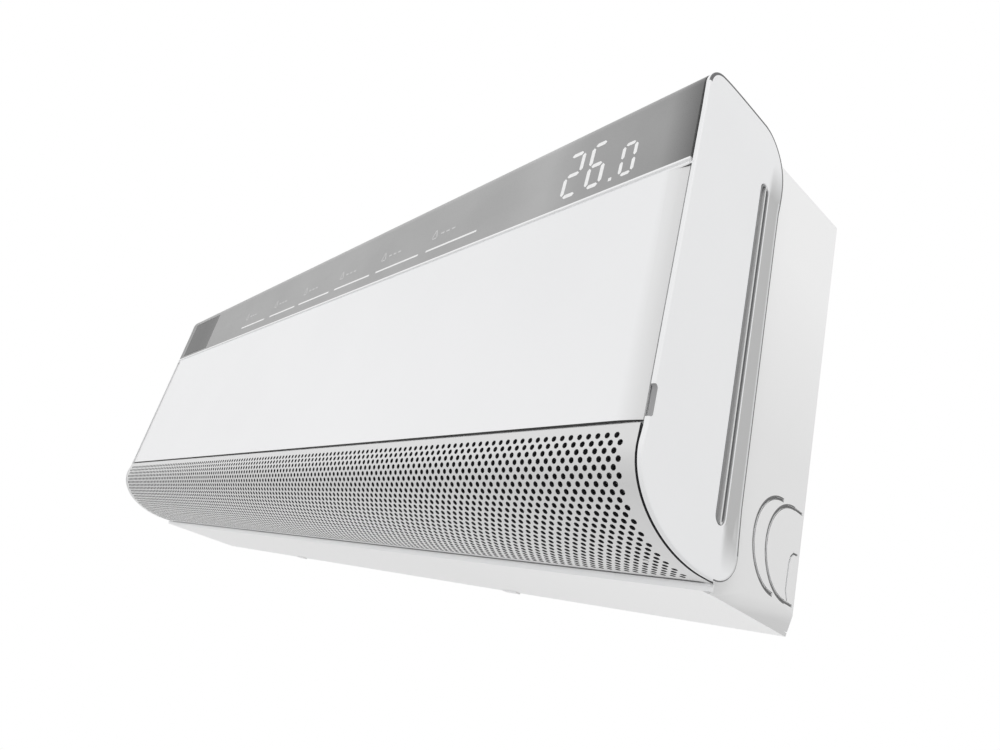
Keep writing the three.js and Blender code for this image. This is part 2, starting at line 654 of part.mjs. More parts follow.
function flapBush() {
  const end = -CASE_X + WALL + GAP;
  const start = -LUG_X - LUG_T - GAP;
  const body = onPivot(end, start, LUG_R, 16);
  return cut(body, onPivot(end + 1.5, start + 1, SHAFT_R + PIN_ROOM));
}

// ----------------------------------------------------------- fan and its bay
function fanBlade() {
  const mid = FAN_R - RING_WIDTH / 2;
  const chord = RING_WIDTH - 3;
  const bulge = 2.6;
  const line = [-0.5, 0, 0.5].map((t) => {
    const sweep = radians(-t * 16);
    const radius = mid + t * chord;
    const side = bulge * (1 - 4 * t * t) - radius * Math.sin(sweep);
    return [radius * Math.cos(sweep), side];
  });
  return ribbon(line, 1.1);
}

function fan() {
  const step = 360 / FAN_BLADES;
  const blade = alongX(fanBlade(), FAN_LEFT + 1, FAN_RIGHT - 1);
  const turned = Array.from({ length: FAN_BLADES }, (_, i) => blade.rotate([i * step, 0, 0]));
  const pitch = (FAN_RIGHT - FAN_LEFT - RING_T) / FAN_SECTIONS;
  const ring = (i) => {
    const x = FAN_LEFT + i * pitch;
    const inner = i === 0 || i === FAN_SECTIONS ? [] : [circle(0, 0, FAN_R - RING_WIDTH, 16)];
    return alongX(circle(0, 0, FAN_R, 20), x, x + RING_T, inner);
  };
  const rings = Array.from({ length: FAN_SECTIONS + 1 }, (_, i) => ring(i));
  const stub = rodX(FAN_LEFT - 14, FAN_LEFT + 1, 0, 0, 3, 10);
  const hub = rodX(FAN_RIGHT - 12, FAN_RIGHT - 1, 0, 0, 12, 12);
  const socket = rodX(FAN_RIGHT - 9, FAN_RIGHT + 1, 0, 0, 4.5, 10);
  return cut(join(...rings, ...turned, stub, hub), socket).translate([0, FAN_Y, FAN_Z]);
}

function fanMotor() {
  return join(
    rodX(MOTOR_LEFT, MOTOR_RIGHT, FAN_Y, FAN_Z, MOTOR_R, 24),
    rodX(MOTOR_LEFT - 4, MOTOR_RIGHT + 4, FAN_Y, FAN_Z, 14, 12),
    rodX(FAN_RIGHT - 8, MOTOR_LEFT, FAN_Y, FAN_Z, 4, 10));
}

const SEAT_R = MOTOR_R + GAP;

function motorClamp() {
  const strap = [
    ...arc(FAN_Y, FAN_Z, SEAT_R, SEAT_R, 0, 180, 12),
    ...arc(FAN_Y, FAN_Z, SEAT_R + WALL, SEAT_R + WALL, 180, 0, 12),
  ];
  const foot = (from, to) => rectangle(from, to, FAN_Z, FAN_Z + WALL);
  const x0 = MOTOR_LEFT + 6;
  const x1 = MOTOR_RIGHT - 6;
  return join(
    alongX(strap, x0, x1),
    alongX(foot(FAN_Y + SEAT_R + 1, FAN_Y + SEAT_R + CLAMP_FOOT), x0, x1),
    alongX(foot(FAN_Y - SEAT_R - CLAMP_FOOT, FAN_Y - SEAT_R - 1), x0, x1));
}

const BEARING_R = 11;

function fanBearing() {
  const ring = rodX(DUCT_LEFT - WALL - 3, DUCT_LEFT - WALL + 9, FAN_Y, FAN_Z, BEARING_R - GAP);
  return cut(ring, rodX(DUCT_LEFT - WALL - 4, DUCT_LEFT + 10, FAN_Y, FAN_Z, 3 + PIN_ROOM, 10));
}

// ------------------------------------------------------------------- chassis
function scrollLine() {
  const steps = 12;
  return Array.from({ length: steps + 1 }, (_, i) => {
    const t = i / steps;
    const angle = radians(SCROLL_START + (SCROLL_END - SCROLL_START) * t);
    const radius = FAN_R + SCROLL_GAP + SCROLL_GROWTH * t;
    return [FAN_Y + radius * Math.cos(angle), FAN_Z + radius * Math.sin(angle)];
  });
}

const throatStart = scrollLine().at(-1);
const throatLength = Math.hypot(THROAT_END.y - throatStart[0], THROAT_END.z - throatStart[1]);
const throatDir = [(THROAT_END.y - throatStart[0]) / throatLength,
  (THROAT_END.z - throatStart[1]) / throatLength];

const TROUGH_Z = FAN_Z + FAN_R + 18;

const BACK_FACE = -BACK_DEPTH - WALL;
const BACK_TOP = HEIGHT - 17;

// The air side of the chassis, from the top of its back down to the outlet.
function chassisLine() {
  return [
    [BACK_FACE, BACK_TOP], [BACK_FACE, TROUGH_Z], [BACK_FACE - 20, TROUGH_Z - 5],
    ...scrollLine(), [THROAT_END.y, THROAT_END.z],
  ];
}

function endWall(x0, x1) {
  const edge = offsetLine(chassisLine(), WALL / 2).slice(1);
  const outline = [
    ...edge, [THROAT_END.y, FOOT_Z], [FLAP_PIVOT.y - 30, FOOT_Z + 2],
    trayFront(SEAM_Z + 7), trayFront(TROUGH_Z),
  ];
  return alongX(outline, x0, x1);
}

function motorCradle(x0, x1) {
  const front = FAN_Y - SEAT_R - CLAMP_FOOT;
  const rear = FAN_Y + SEAT_R + CLAMP_FOOT;
  const top = FAN_Z - GAP;
  return alongX([
    [front, BAY_FLOOR], [rear, BAY_FLOOR], [rear, top],
    ...arc(FAN_Y, top, SEAT_R, SEAT_R, 0, -180, 12), [front, top],
  ], x0, x1);
}

function chassis() {
  const left = DUCT_LEFT - WALL;
  const right = BULKHEAD_X + WALL;
  const bayEnd = CASE_X - WALL - 2 * GAP;
  const front = FAN_Y - SEAT_R - CLAMP_FOOT;
  const body = join(
    alongX(ribbon(chassisLine(), WALL), left, right),
    endWall(left, DUCT_LEFT),
    endWall(BULKHEAD_X, right),
    box(right - 1, bayEnd, BACK_FACE, -BACK_DEPTH, BAY_FLOOR, BACK_TOP),
    box(right - 1, MOTOR_RIGHT, front, -BACK_DEPTH - 0.5, BAY_FLOOR, BAY_FLOOR + WALL),
    motorCradle(MOTOR_LEFT + 6, MOTOR_LEFT + 9),
    motorCradle(MOTOR_RIGHT - 9, MOTOR_RIGHT - 6),
    box(left, right, BACK_FACE - 21, BACK_FACE - 19, TROUGH_Z - 6, TROUGH_Z + 6));
  const hangers = HOOKS.map((x) =>
    box(x - 16, x + 16, BACK_FACE - 1, -BACK_DEPTH + 1, PLATE.top - 12, PLATE.top - 2 + GAP));
  const shafts = groupStarts.map((x) => onThroat(rodZ(x, 0, -4, 1, SHAFT_R, 10)));
  return cut(body,
    rodX(right - 4, right + 1, FAN_Y, FAN_Z, 9, 12),
    rodX(left - 1, DUCT_LEFT + 1, FAN_Y, FAN_Z, BEARING_R, 16),
    rodX(left - 1, right + 1, DRAIN_Y, DRAIN_Z, DRAIN_R, 12),
    ...hangers, ...shafts);
}

// --------------------------------------------------------------- drip tray
const trayFront = (z) => [frontY(z, FRAME_INSET + WALL + 2 * GAP), z];

function tonguePoints() {
  const radius = FAN_R + TONGUE_GAP;
  return arc(FAN_Y, FAN_Z, radius, radius, 186, 204, 3);
}

function dripTray() {
  const tongue = tonguePoints();
  const inner = trayFront(TRAY_FLOOR)[0] + TRAY_T;
  const outline = [
    trayFront(SEAM_Z + 7), trayFront(TRAY_FLOOR + 20), [inner, TRAY_FLOOR + 20],
    [inner, TRAY_FLOOR], [tongue[0][0] - TRAY_T - 2, TRAY_FLOOR],
    [tongue[0][0] - TRAY_T, tongue[0][1]], ...tongue,
  ];
  return alongX(outline, DUCT_LEFT + GAP, BULKHEAD_X - GAP);
}

// ---------------------------------------------------------------------- vanes
// The vanes stand on the straight throat. Their own frame has X along the
// width, Y down the throat towards the outlet and Z square to its floor.
const throatAngle = THREE.MathUtils.radToDeg(Math.atan2(throatDir[1], throatDir[0]));
const vaneBase = [0, 1].map((k) => throatStart[k] + throatDir[k] * VANE_RUN);

function onThroat(solid) {
  const upright = solid.mirror([0, 0, 1]).rotate([throatAngle, 0, 0]);
  return upright.translate([0, vaneBase[0], vaneBase[1]]);
}

const vaneCentres = Array.from({ length: 2 * VANES_PER_GROUP },
  (_, i) => DUCT_LEFT + VANE_PITCH * (i + 0.5));
const groupStarts = [vaneCentres[0], vaneCentres[VANES_PER_GROUP]];

function vane(x) {
  const notch = 3.5;            // link's room above and below its level
  const low = RAIL_T + 2 * GAP;
  const blade = alongX([
    [-8, low], [13, low], [13, 16], [23, 32], [22, 48], [2, 52], [-8, 42],
  ], x - VANE_T / 2, x + VANE_T / 2);
  const under = LINK_LEVEL - notch;
  const over = LINK_LEVEL + notch;
  const window = box(x - 2, x + 2, LINK_ARM - 5, LINK_ARM + 20, under, over);
  const linkPin = rodZ(x, LINK_ARM, under - 0.5, over + 0.5, LINK_PIN_R, 6);
  const pivot = rodZ(x, 0, 1, low + 1, VANE_PIN_R, 6);
  return onThroat(join(cut(blade, window), linkPin, pivot));
}

function vaneRail(first) {
  const x0 = first - RAIL_END;
  const x1 = first + VANE_PITCH * (VANES_PER_GROUP - 1) + RAIL_END;
  const holes = Array.from({ length: VANES_PER_GROUP }, (_, i) =>
    rodZ(first + i * VANE_PITCH, 0, -1, RAIL_T + 1, VANE_PIN_R + PIN_ROOM, 6));
  return onThroat(cut(box(x0, x1, -5, 5, GAP, RAIL_T), ...holes));
}

function vaneLink(first) {
  const back = LINK_ARM - 1.4 - LINK_PIN_R - PIN_ROOM;
  const front = LINK_ARM + LINK_PIN_R + PIN_ROOM;
  const middle = (back + front) / 2;
  const reach = LINK_PIN_R + PIN_ROOM + 0.2;
  const end = first + VANE_PITCH * (VANES_PER_GROUP - 1);
  const bar = box(first - 7, end + 7, middle - LINK_WIDTH / 2, middle + LINK_WIDTH / 2,
    LINK_LEVEL - LINK_T / 2, LINK_LEVEL + LINK_T / 2);
  const holes = Array.from({ length: VANES_PER_GROUP }, (_, i) => {
    const x = first + i * VANE_PITCH;
    return box(x - reach, x + reach, back, front, LINK_LEVEL - LINK_T, LINK_LEVEL + LINK_T);
  });
  return onThroat(cut(bar, ...holes));
}

function vaneMotor(x) {
  const top = -WALL - GAP;
  return onThroat(join(
    rodZ(x, STEPPER_OFFSET / 2, top - STEPPER_T, top, STEPPER_R),
    rodZ(x, 0, top - 1, GAP, SHAFT_R - GAP, 8)));
}

// ---------------------------------------------------------------------- coils
// A coil block runs from one point of its centre line to another.
function coilBlock(from, to, x0, x1, grooved) {
  const length = Math.hypot(to[0] - from[0], to[1] - from[1]);
  const angle = THREE.MathUtils.radToDeg(Math.atan2(to[1] - from[1], to[0] - from[0]));
  const half = COIL_T / 2;
  const block = alongX(rectangle(0, length, -half, half), x0, x1);
  const pitch = (x1 - x0) / (COIL_FINS + 1);
  const grooves = Array.from({ length: grooved ? COIL_FINS : 0 }, (_, i) => {
    const x = x0 + pitch * (i + 1);
    return box(x - FIN_GROOVE / 2, x + FIN_GROOVE / 2, -1, length + 1, 2, half + 1);
  });
  return cut(block, ...grooves).rotate([angle, 0, 0]).translate([0, from[0], from[1]]);
}

const KNEE = { y: 30 - SEAM_DEPTH, z: 209 };      // front blocks meet
const APEX = { y: 99 - SEAM_DEPTH, z: HEIGHT - 48 };   // over the fan
const coilLines = {
  front_lower: [[KNEE.y - 6.5, 99.5], [KNEE.y - 8.5, KNEE.z - 4]],
  front_upper: [[KNEE.y + 4, KNEE.z + 4], [APEX.y - 12, APEX.z]],
  rear: [[APEX.y + 12, APEX.z], [-34, TROUGH_Z + 26]],
};

const coil = (name) => coilBlock(...coilLines[name], COIL_LEFT, COIL_RIGHT, true);

function coilSheets(x0, x1) {
  const wider = Object.values(coilLines).map(([from, to]) => coilBlock(from, to, x0, x1, false));
  const knee = rodX(x0, x1, KNEE.y, KNEE.z, COIL_T / 2, 10);
  const apex = rodX(x0, x1, APEX.y, APEX.z, COIL_T / 2, 10);
  return join(...wider, knee, apex);
}

function returnBend(x, from, to, side) {
  const out = x + side * 9;
  return tube([[x, ...from], [out, ...from], [out, ...to], [x, ...to]], 6, BEND_R, 5, 1);
}

function coilEnd(side) {
  const x0 = side < 0 ? COIL_LEFT - GAP - SHEET_T : COIL_RIGHT + GAP;
  const sheets = coilSheets(x0, x0 + SHEET_T);
  const x = side < 0 ? x0 + 0.5 : x0 + SHEET_T - 0.5;
  const bends = Object.values(coilLines).flatMap(([from, to]) => [0.2, 0.62].map((t) => {
    const at = (s) => [from[0] + (to[0] - from[0]) * s, from[1] + (to[1] - from[1]) * s];
    return returnBend(x, at(t), at(t + 0.2), side);
  }));
  return join(sheets, ...bends);
}

// ---------------------------------------------------------- filters and grille
const TOP_TILT = THREE.MathUtils.radToDeg(Math.atan(TOP_SLOPE));

// Lays a solid drawn on the plane Z = 0 onto the sloping top.
const onTop = (solid, inset) => solid.rotate([TOP_TILT, 0, 0]).translate([0, 0, HEIGHT - inset]);

function inletGrille() {
  const span = CASE_X - WALL - GAP;
  const plate = box(-span, span, -FILTER_FRONT, -FILTER_REAR, -GRILLE_T, 0);
  const columns = 8;
  const rows = 4;
  const pitchX = 2 * span / columns;
  const pitchY = (FILTER_FRONT - FILTER_REAR - 2 * LEDGE) / rows;
  const slots = Array.from({ length: columns * rows }, (_, i) => {
    const x = -span + pitchX * (i % columns);
    const y = -FILTER_FRONT + LEDGE + pitchY * Math.floor(i / columns);
    return box(x + 3, x + pitchX - 3, y + 2, y + pitchY - 2, -GRILLE_T - 1, 1);
  });
  return onTop(cut(plate, ...slots), FILTER_T + 2 * GAP);
}

function filter() {
  const x0 = 1.5;
  const x1 = CASE_X - WALL - FILTER_ROOM;
  const frame = box(x0, x1, -FILTER_FRONT, -FILTER_REAR, -FILTER_T, 0);
  const columns = 5;
  const rows = 3;
  const pitchX = (x1 - x0 - 8) / columns;
  const pitchY = (FILTER_FRONT - FILTER_REAR - 8) / rows;
  const windows = Array.from({ length: columns * rows }, (_, i) => {
    const x = x0 + 4 + pitchX * (i % columns);
    const y = -FILTER_FRONT + 4 + pitchY * Math.floor(i / columns);
    return box(x + 1, x + pitchX - 1, y + 1, y + pitchY - 1, -FILTER_T - 1, 1);
  });
  return onTop(cut(frame, ...windows), GAP);
}

// ------------------------------------------------------ wall plate and pipes
const MOUNT_Z = (PLATE.bottom + PLATE.top) / 2;

function wallPlate() {
  const half = PLATE.width / 2;
  const sheet = box(-half, half, -PLATE.thickness, 0, PLATE.bottom, PLATE.top);
  const ribs = [PLATE.bottom + 34, PLATE.top - 50].map((z) =>
    box(-half + 20, half - 20, -PLATE.thickness - 3, -PLATE.thickness + 0.5, z, z + 12));
  const tip = BACK_FACE - GAP;
  const hooks = HOOKS.map((x) => join(
    box(x - 12, x + 12, tip - 2, -PLATE.thickness + 0.5, PLATE.top - 4, PLATE.top - 2),
    box(x - 12, x + 12, tip - 2, tip, PLATE.top - 4, PLATE.top + 6)));
  const windows = [-1, 1].map((side) =>
    box(side * half - 45, side * half + 45, -20, 1, PLATE.bottom - 1, PLATE.bottom + 24));
  const holes = [-280, -140, 140, 280].flatMap((x) => [PLATE.bottom + 62, PLATE.top - 20].map(
    (z) => rodY(x, z, -20, 1, 3, 8)));
  return cut(join(sheet, ...ribs, ...hooks), ...windows, ...holes);
}

// From the coil's end across to the motor bay, down its back and along the
// channel at the foot of the wall.
function pipe(radius, { leave: [y, z], down, run, end }) {
  const start = COIL_RIGHT + 2 * GAP + SHEET_T;
  return tube([
    [start, y, z], [start + 30, y, z], [start + 56, PIPE_Y, z],
    [down, PIPE_Y, z], [down, PIPE_Y, run], [end, PIPE_Y, run],
  ], 14, radius, 8, 3);
}

function flareNut(radius, across, { run, end }) {
  const nut = rodX(end - 20, end - GAP, PIPE_Y, run, across, 6);
  return cut(nut, rodX(end - 21, end - 12, PIPE_Y, run, radius, 10));
}

function drainSpout() {
  const x = BULKHEAD_X + WALL + GAP;
  const outer = rodX(x, x + SPOUT_LENGTH, DRAIN_Y, DRAIN_Z, DRAIN_R + 3, 16);
  return cut(outer, rodX(x - 1, x + SPOUT_LENGTH + 1, DRAIN_Y, DRAIN_Z, DRAIN_R, 12));
}

function drainPlug() {
  const x = DUCT_LEFT - WALL - GAP;
  return join(
    rodX(x - 8, x, DRAIN_Y, DRAIN_Z, DRAIN_R + 2, 12),
    rodX(x - 1, DUCT_LEFT - GAP, DRAIN_Y, DRAIN_Z, DRAIN_R - GAP, 12));
}

// ---------------------------------------------------------------- electrics
function controlBox() {
  const c = CONTROL;
  const shell = box(c.left, c.right, -c.front, -c.back, c.bottom, c.top);
  const inside = box(c.left - 1, c.right - 2, -c.front + 2, -c.back - 2, c.bottom + 2, c.top - 2);
  return cut(shell, inside);
}

function controlCover() {
  const c = CONTROL;
  return box(c.left - GAP - 2, c.left - GAP, -c.front, -c.back, c.bottom, c.top);
}

function mainBoard() {
  const c = CONTROL;
  const x = c.right - 8;
  const sheet = box(x, x + 1.6, -c.front + 6, -c.back - 6, c.bottom + 6, c.top - 6);
  const relay = box(x - 16, x + 0.5, -c.front + 20, -c.front + 38, c.bottom + 20, c.bottom + 50);
  const capacitor = rodX(x - 26, x + 0.5, -c.back - 40, c.top - 40, 11, 12);
  return join(sheet, relay, capacitor);
}

function terminalBlock() {
  const c = CONTROL;
  const near = -c.front;
  const block = box(c.left, c.right - 6, near + 4, near + 30, c.bottom - 24, c.bottom - GAP);
  const gaps = [10, 21, 32].map((x) =>
    box(c.left + x, c.left + x + 2, near, near + 12, c.bottom - 20, c.bottom));
  return cut(block, ...gaps);
}

function displayBoard() {
  const low = BAND_Z + 6;
  const high = NOSE_Z - 4;
  const face = FRAME_INSET + WALL + GAP;
  const back = face + 1.6;
  return alongX([
    [frontY(low, face), low], [frontY(high, face), high],
    [frontY(high, back), high], [frontY(low, back), low],
  ], 230 - HALF, HALF - 40);
}

function serviceButton() {
  const { x, z, radius, flange } = BUTTON;
  const face = frontY(z, PANEL_T + 0.6);
  return join(
    rodY(x, z, face, face + 6, radius, 12),
    rodY(x, z, frontY(z, FRAME_INSET + WALL + 1.6), face + 8, flange, 12));
}

// ------------------------------------------------------------------ assembly
const unit = new THREE.Group();
unit.position.z = -MOUNT_Z;

function add(name, solid, material) {
  const mesh = new THREE.Mesh(toGeometry(solid), material);
  mesh.name = name;
  unit.add(mesh);
}

function addPair(name, solid, material) {
  add(`${name}_right`, solid, material());
  add(`${name}_left`, mirrorX(solid), material());
}

add('wall_plate', wallPlate(), steel());
add('chassis', chassis(), greyPlastic());
add('casing', casing(), whitePlastic());
add('side_plate_right', cut(sidePlate(), notchTool()), whitePlastic());
add('side_plate_left', mirrorX(sidePlate()), whitePlastic());
addPair('slot_guide', slotGuide(), greyPlastic);
add('display_band', displayBand(), smokedLens());
add('sensor_window', sensorWindow(), blackPlastic());
add('band_trim', bandTrim(), whitePlastic());
add('display_board', displayBoard(), board());
add('front_panel', frontPanel(), whitePlastic());
add('flap', flap(), whitePlastic());
add('flap_motor', flapMotor(), steel());
add('flap_bush', flapBush(), darkPlastic());
add('fan', fan(), blackPlastic());
add('fan_motor', fanMotor(), steel());
add('motor_clamp', motorClamp(), greyPlastic());
add('fan_bearing', fanBearing(), rubber());
add('drip_tray', dripTray(), greyPlastic());
add('drain_spout', drainSpout(), greyPlastic());
add('drain_plug', drainPlug(), rubber());
add('inlet_grille', inletGrille(), whitePlastic());
addPair('filter', filter(), darkPlastic);
Object.keys(coilLines).forEach((name) => add(`coil_${name}`, coil(name), aluminium()));
add('coil_end_left', coilEnd(-1), copper());
add('coil_end_right', coilEnd(1), copper());
vaneCentres.forEach((x, i) => add(`vane_${i + 1}`, vane(x), greyPlastic()));
['left', 'right'].forEach((side, i) => {
  add(`vane_rail_${side}`, vaneRail(groupStarts[i]), greyPlastic());
  add(`vane_link_${side}`, vaneLink(groupStarts[i]), greyPlastic());
  add(`vane_motor_${side}`, vaneMotor(groupStarts[i]), steel());
});
add('gas_pipe', pipe(GAS_R, GAS), copper());
add('liquid_pipe', pipe(LIQUID_R, LIQUID), copper());
add('gas_nut', flareNut(GAS_R, GAS_NUT_R, GAS), brass());
add('liquid_nut', flareNut(LIQUID_R, LIQUID_NUT_R, LIQUID), brass());
add('control_box', controlBox(), whitePlastic());
add('control_cover', controlCover(), steel());
add('main_board', mainBoard(), board());
add('terminal_block', terminalBlock(), blackPlastic());
add('service_button', serviceButton(), greyPlastic());

export default unit;
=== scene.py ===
"""Looks of a wall-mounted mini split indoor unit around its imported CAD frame.

Everything is in metres in the CAD frame: X along the width, the front faces -Y,
the wall is Y = 0 and the origin is the middle of the wall plate. Sizes below are
written in millimetres, with heights from the unit's underside, as a maker would.
"""

import math

import bpy
from mathutils import Matrix, Vector
from mathutils.geometry import delaunay_2d_cdt


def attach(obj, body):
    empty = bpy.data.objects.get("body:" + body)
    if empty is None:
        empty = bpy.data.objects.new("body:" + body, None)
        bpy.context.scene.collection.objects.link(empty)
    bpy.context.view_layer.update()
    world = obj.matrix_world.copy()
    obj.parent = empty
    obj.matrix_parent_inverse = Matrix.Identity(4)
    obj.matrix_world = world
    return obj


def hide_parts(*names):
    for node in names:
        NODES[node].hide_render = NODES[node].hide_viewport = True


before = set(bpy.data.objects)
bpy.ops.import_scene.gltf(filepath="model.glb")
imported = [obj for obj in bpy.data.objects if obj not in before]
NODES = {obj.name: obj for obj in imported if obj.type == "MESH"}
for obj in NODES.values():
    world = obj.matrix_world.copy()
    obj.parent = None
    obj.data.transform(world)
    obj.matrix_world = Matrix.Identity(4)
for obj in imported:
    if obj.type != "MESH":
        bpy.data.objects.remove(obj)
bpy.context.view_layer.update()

# ---------------------------------------------------------------- key sizes, mm
MOUNT_Z = 165.0
SEAM_Z, SEAM_DEPTH, LEAN = 65.0, 195.0, 0.043
FLAP_REACH, FLAP_BEND_Z, FLAP_BOTTOM = 77.0, 53.0, 4.5
FLAP_TOP, FLAP_T = 63.9, 2.6
FLAP_CURVE_Y = FLAP_REACH - SEAM_DEPTH
PIVOT_Y, PIVOT_Z, CURL_R = -116.0, 16.0, 15.9
HALF, CASE_X, SKIN_X = 484.0, 474.3, 479.4
HEIGHT, TOP_SLOPE, CROWN_Y = 332.0, 0.065, -150.0
NOSE_Z, NOSE_R, NOSE_SWEEP = 302.4, 16.0, 68
TRIM_Z, TRIM_HEIGHT, PANEL_TOP = 240.3, 1.6, 238.7

PLATE_DEPTH, PLATE_BACK, LIP_X = 107.0, 474.7, 481.0
FOOT_Z, FOOT_R = 4.8, 26.0                      # plate's lower back corner
TOP_RY, TOP_RZ = 38.0, 52.0                     # and its upper one
SLOT_SETBACK, SLOT_R, SLOT_LOW, SLOT_HIGH = 79.0, 5.25, 36.0, 277.0
SLOT_EDGE = 0.6                                 # rounding round the slot
ROLL_IN, ROLL_FROM, ROLL_EASE = 3.8, 84.3, 0.8  # face turning in behind the slot
FADE_LOW, FADE_LOW_RUN = 2.0, 42.0              # the turn fades out at the foot
FADE_HIGH, FADE_HIGH_RUN = 312.0, 46.0          # and at the top
NOTCH_LOW, NOTCH_HIGH, NOTCH_DEPTH = 67.5, 86.5, 1.7
EDGE_R, RIM, PALE = 0.9, 1.3, 2.2               # rounded edge, painted seam shadow, painted highlight line
FACE_SETBACK = 0.5                              # front edge behind the panel's face
OUTER, SEAM_SHADOW_LOOK, POCKET_LOOK, HIGHLIGHT_LOOK = range(4)     # the plate's material slots
ARC_STEPS, REAR_STEPS = 16, 10                  # stations round the foot, up the back
FOOT_END, PALE_START = ARC_STEPS - 2, ARC_STEPS - 4     # where foot ends, line starts
PALE_END = ARC_STEPS + REAR_STEPS + 2
BLOCK_INSET = 4.5                               # the block that carries the lip
BLOCK_REAR_Y, BLOCK_STEP_Z, BLOCK_FOOT_Z, BLOCK_FRONT = -98.5, 34.0, 10.5, 65.4

LUG_X, LUG_T, LUG_R, SHAFT_R = 453.4, 3.0, 6.0, 2.0

HOLE_PITCH, ROW_PITCH, HOLE_R = 6.742, 4.5, 1.9
HOLE_COLUMNS, HOLE_SIDES = 140, 8
FLAP_REAR_Y, CURL_START, CURL_STEPS = -104.3, -46, 30
FIRST_ROW = 6.5     # flap's top edge to the first row of holes


def place(x, y, z):
    """A point given in millimetres from the underside, in the frame's metres."""
    return Vector((x, y, z - MOUNT_Z)) / 1000


def front_y(z, inset=0.0):
    return inset - SEAM_DEPTH - LEAN * (z - SEAM_Z)


# -------------------------------------------------------------------- materials
class Shader:
    """A node material with one Principled shader, built up call by call."""

    def __init__(self, name):
        self.material = bpy.data.materials.new(name)
        self.material.use_nodes = True
        self.tree = self.material.node_tree
        self.bsdf = self.tree.nodes["Principled BSDF"]
        self.point = self.add("ShaderNodeTexCoord").outputs["Object"]

    def add(self, kind, inputs=None, **settings):
        made = self.tree.nodes.new(kind)
        for key, value in settings.items():
            setattr(made, key, value)
        for key, value in (inputs or {}).items():
            self.feed(made.inputs[key], value)
        return made

    def feed(self, socket, value):
        if isinstance(value, bpy.types.NodeSocket):
            self.tree.links.new(value, socket)
        else:
            socket.default_value = value

    def set(self, **inputs):
        for key, value in inputs.items():
            self.feed(self.bsdf.inputs[key.replace("_", " ")], value)
        return self

    def noise(self, scale, detail=2.0, stretch=(1, 1, 1)):
        mapped = self.add("ShaderNodeMapping", {"Vector": self.point, "Scale": stretch})
        texture = self.add(
            "ShaderNodeTexNoise",
            {"Vector": mapped.outputs[0], "Scale": scale, "Detail": detail},
        )
        return texture.outputs["Fac"]

    def span(self, value, low, high, start=0.35, end=0.65):
        """Maps a value between start and end onto low to high."""
        mapped = self.add(
            "ShaderNodeMapRange",
            {"Value": value, "From Min": start, "From Max": end, "To Min": low, "To Max": high},
        )
        return mapped.outputs["Result"]

    def blend(self, factor, first, second):
        mixed = self.add("ShaderNodeMix", data_type="RGBA")
        self.feed(mixed.inputs[0], factor)
        self.feed(mixed.inputs[6], first)
        self.feed(mixed.inputs[7], second)
        return mixed.outputs[2]

    def ramp(self, value, stops):
        made = self.add("ShaderNodeValToRGB", {"Fac": value})
        elements = made.color_ramp.elements
        while len(elements) < len(stops):
            elements.new(0.5)
        for element, (position, colour) in zip(elements, stops):
            element.position = position
            element.color = grey(colour) if isinstance(colour, float) else colour
        return made.outputs["Color"]

    def axis(self, name):
        """An object coordinate, in millimetres."""
        split = self.add("ShaderNodeSeparateXYZ", {"Vector": self.point})
        return self.calc("MULTIPLY", split.outputs[name], 1000.0)

    def facing(self, name):
        """One part of the surface normal."""
        normal = self.add("ShaderNodeNewGeometry").outputs["Normal"]
        split = self.add("ShaderNodeSeparateXYZ", {"Vector": normal})
        return split.outputs[name]

    def calc(self, operation, *values):
        made = self.add("ShaderNodeMath", operation=operation)
        for socket, value in zip(made.inputs, values):
            self.feed(socket, value)
        return made.outputs[0]

    def within(self, value, low, high):
        """1 between two bounds and 0 outside them."""
        above = self.calc("GREATER_THAN", value, low)
        return self.calc("MULTIPLY", above, self.calc("LESS_THAN", value, high))

    def all_of(self, *masks):
        product = masks[0]
        for mask in masks[1:]:
            product = self.calc("MULTIPLY", product, mask)
        return product

    def shade(self, factor, colour):
        """Blends a colour over the base colour where the factor is 1."""
        socket = self.bsdf.inputs["Base Color"]
        under = socket.links[0].from_socket if socket.links else tuple(socket.default_value)
        self.feed(socket, self.blend(factor, under, colour))
        return self

    def bump(self, height, distance, strength=1.0):
        made = self.add(
            "ShaderNodeBump", {"Height": height, "Distance": distance, "Strength": strength}
        )
        self.feed(self.bsdf.inputs["Normal"], made.outputs[0])
        return self


def grey(level):
    return (level, level, level, 1)


def plastic(name, colour, shade, roughness, grain):
    """Injection-moulded plastic: cloudy tone, fine spark-eroded grain."""
    s = Shader(name)
    cloud = s.noise(7, 3)
    fine = s.noise(2600, 2)
    s.set(Base_Color=s.blend(s.span(cloud, 0, 1), colour, shade))
    s.set(Roughness=s.span(fine, roughness - 0.05, roughness + 0.07))
    return s.bump(fine, grain * 1e-5, 0.6)


def moulded(*settings):
    return plastic(*settings).material


def side_moulding():
    """White side plates, with painted shade where their face turns in behind the slot."""
    s = plastic("side_moulding", (0.815, 0.818, 0.825, 1), (0.8, 0.803, 0.81, 1), 0.42, 1.2)
    outward = s.calc("ABSOLUTE", s.facing("X"))
    turned = s.all_of(
        s.span(s.facing("Y"), 0, 1, 0.02, 0.15), s.calc("GREATER_THAN", outward, 0.9))
    # painted shade: the face turned in behind the slot is greyed by its normal
    s.shade(turned, grey(0.43))
    return s.material


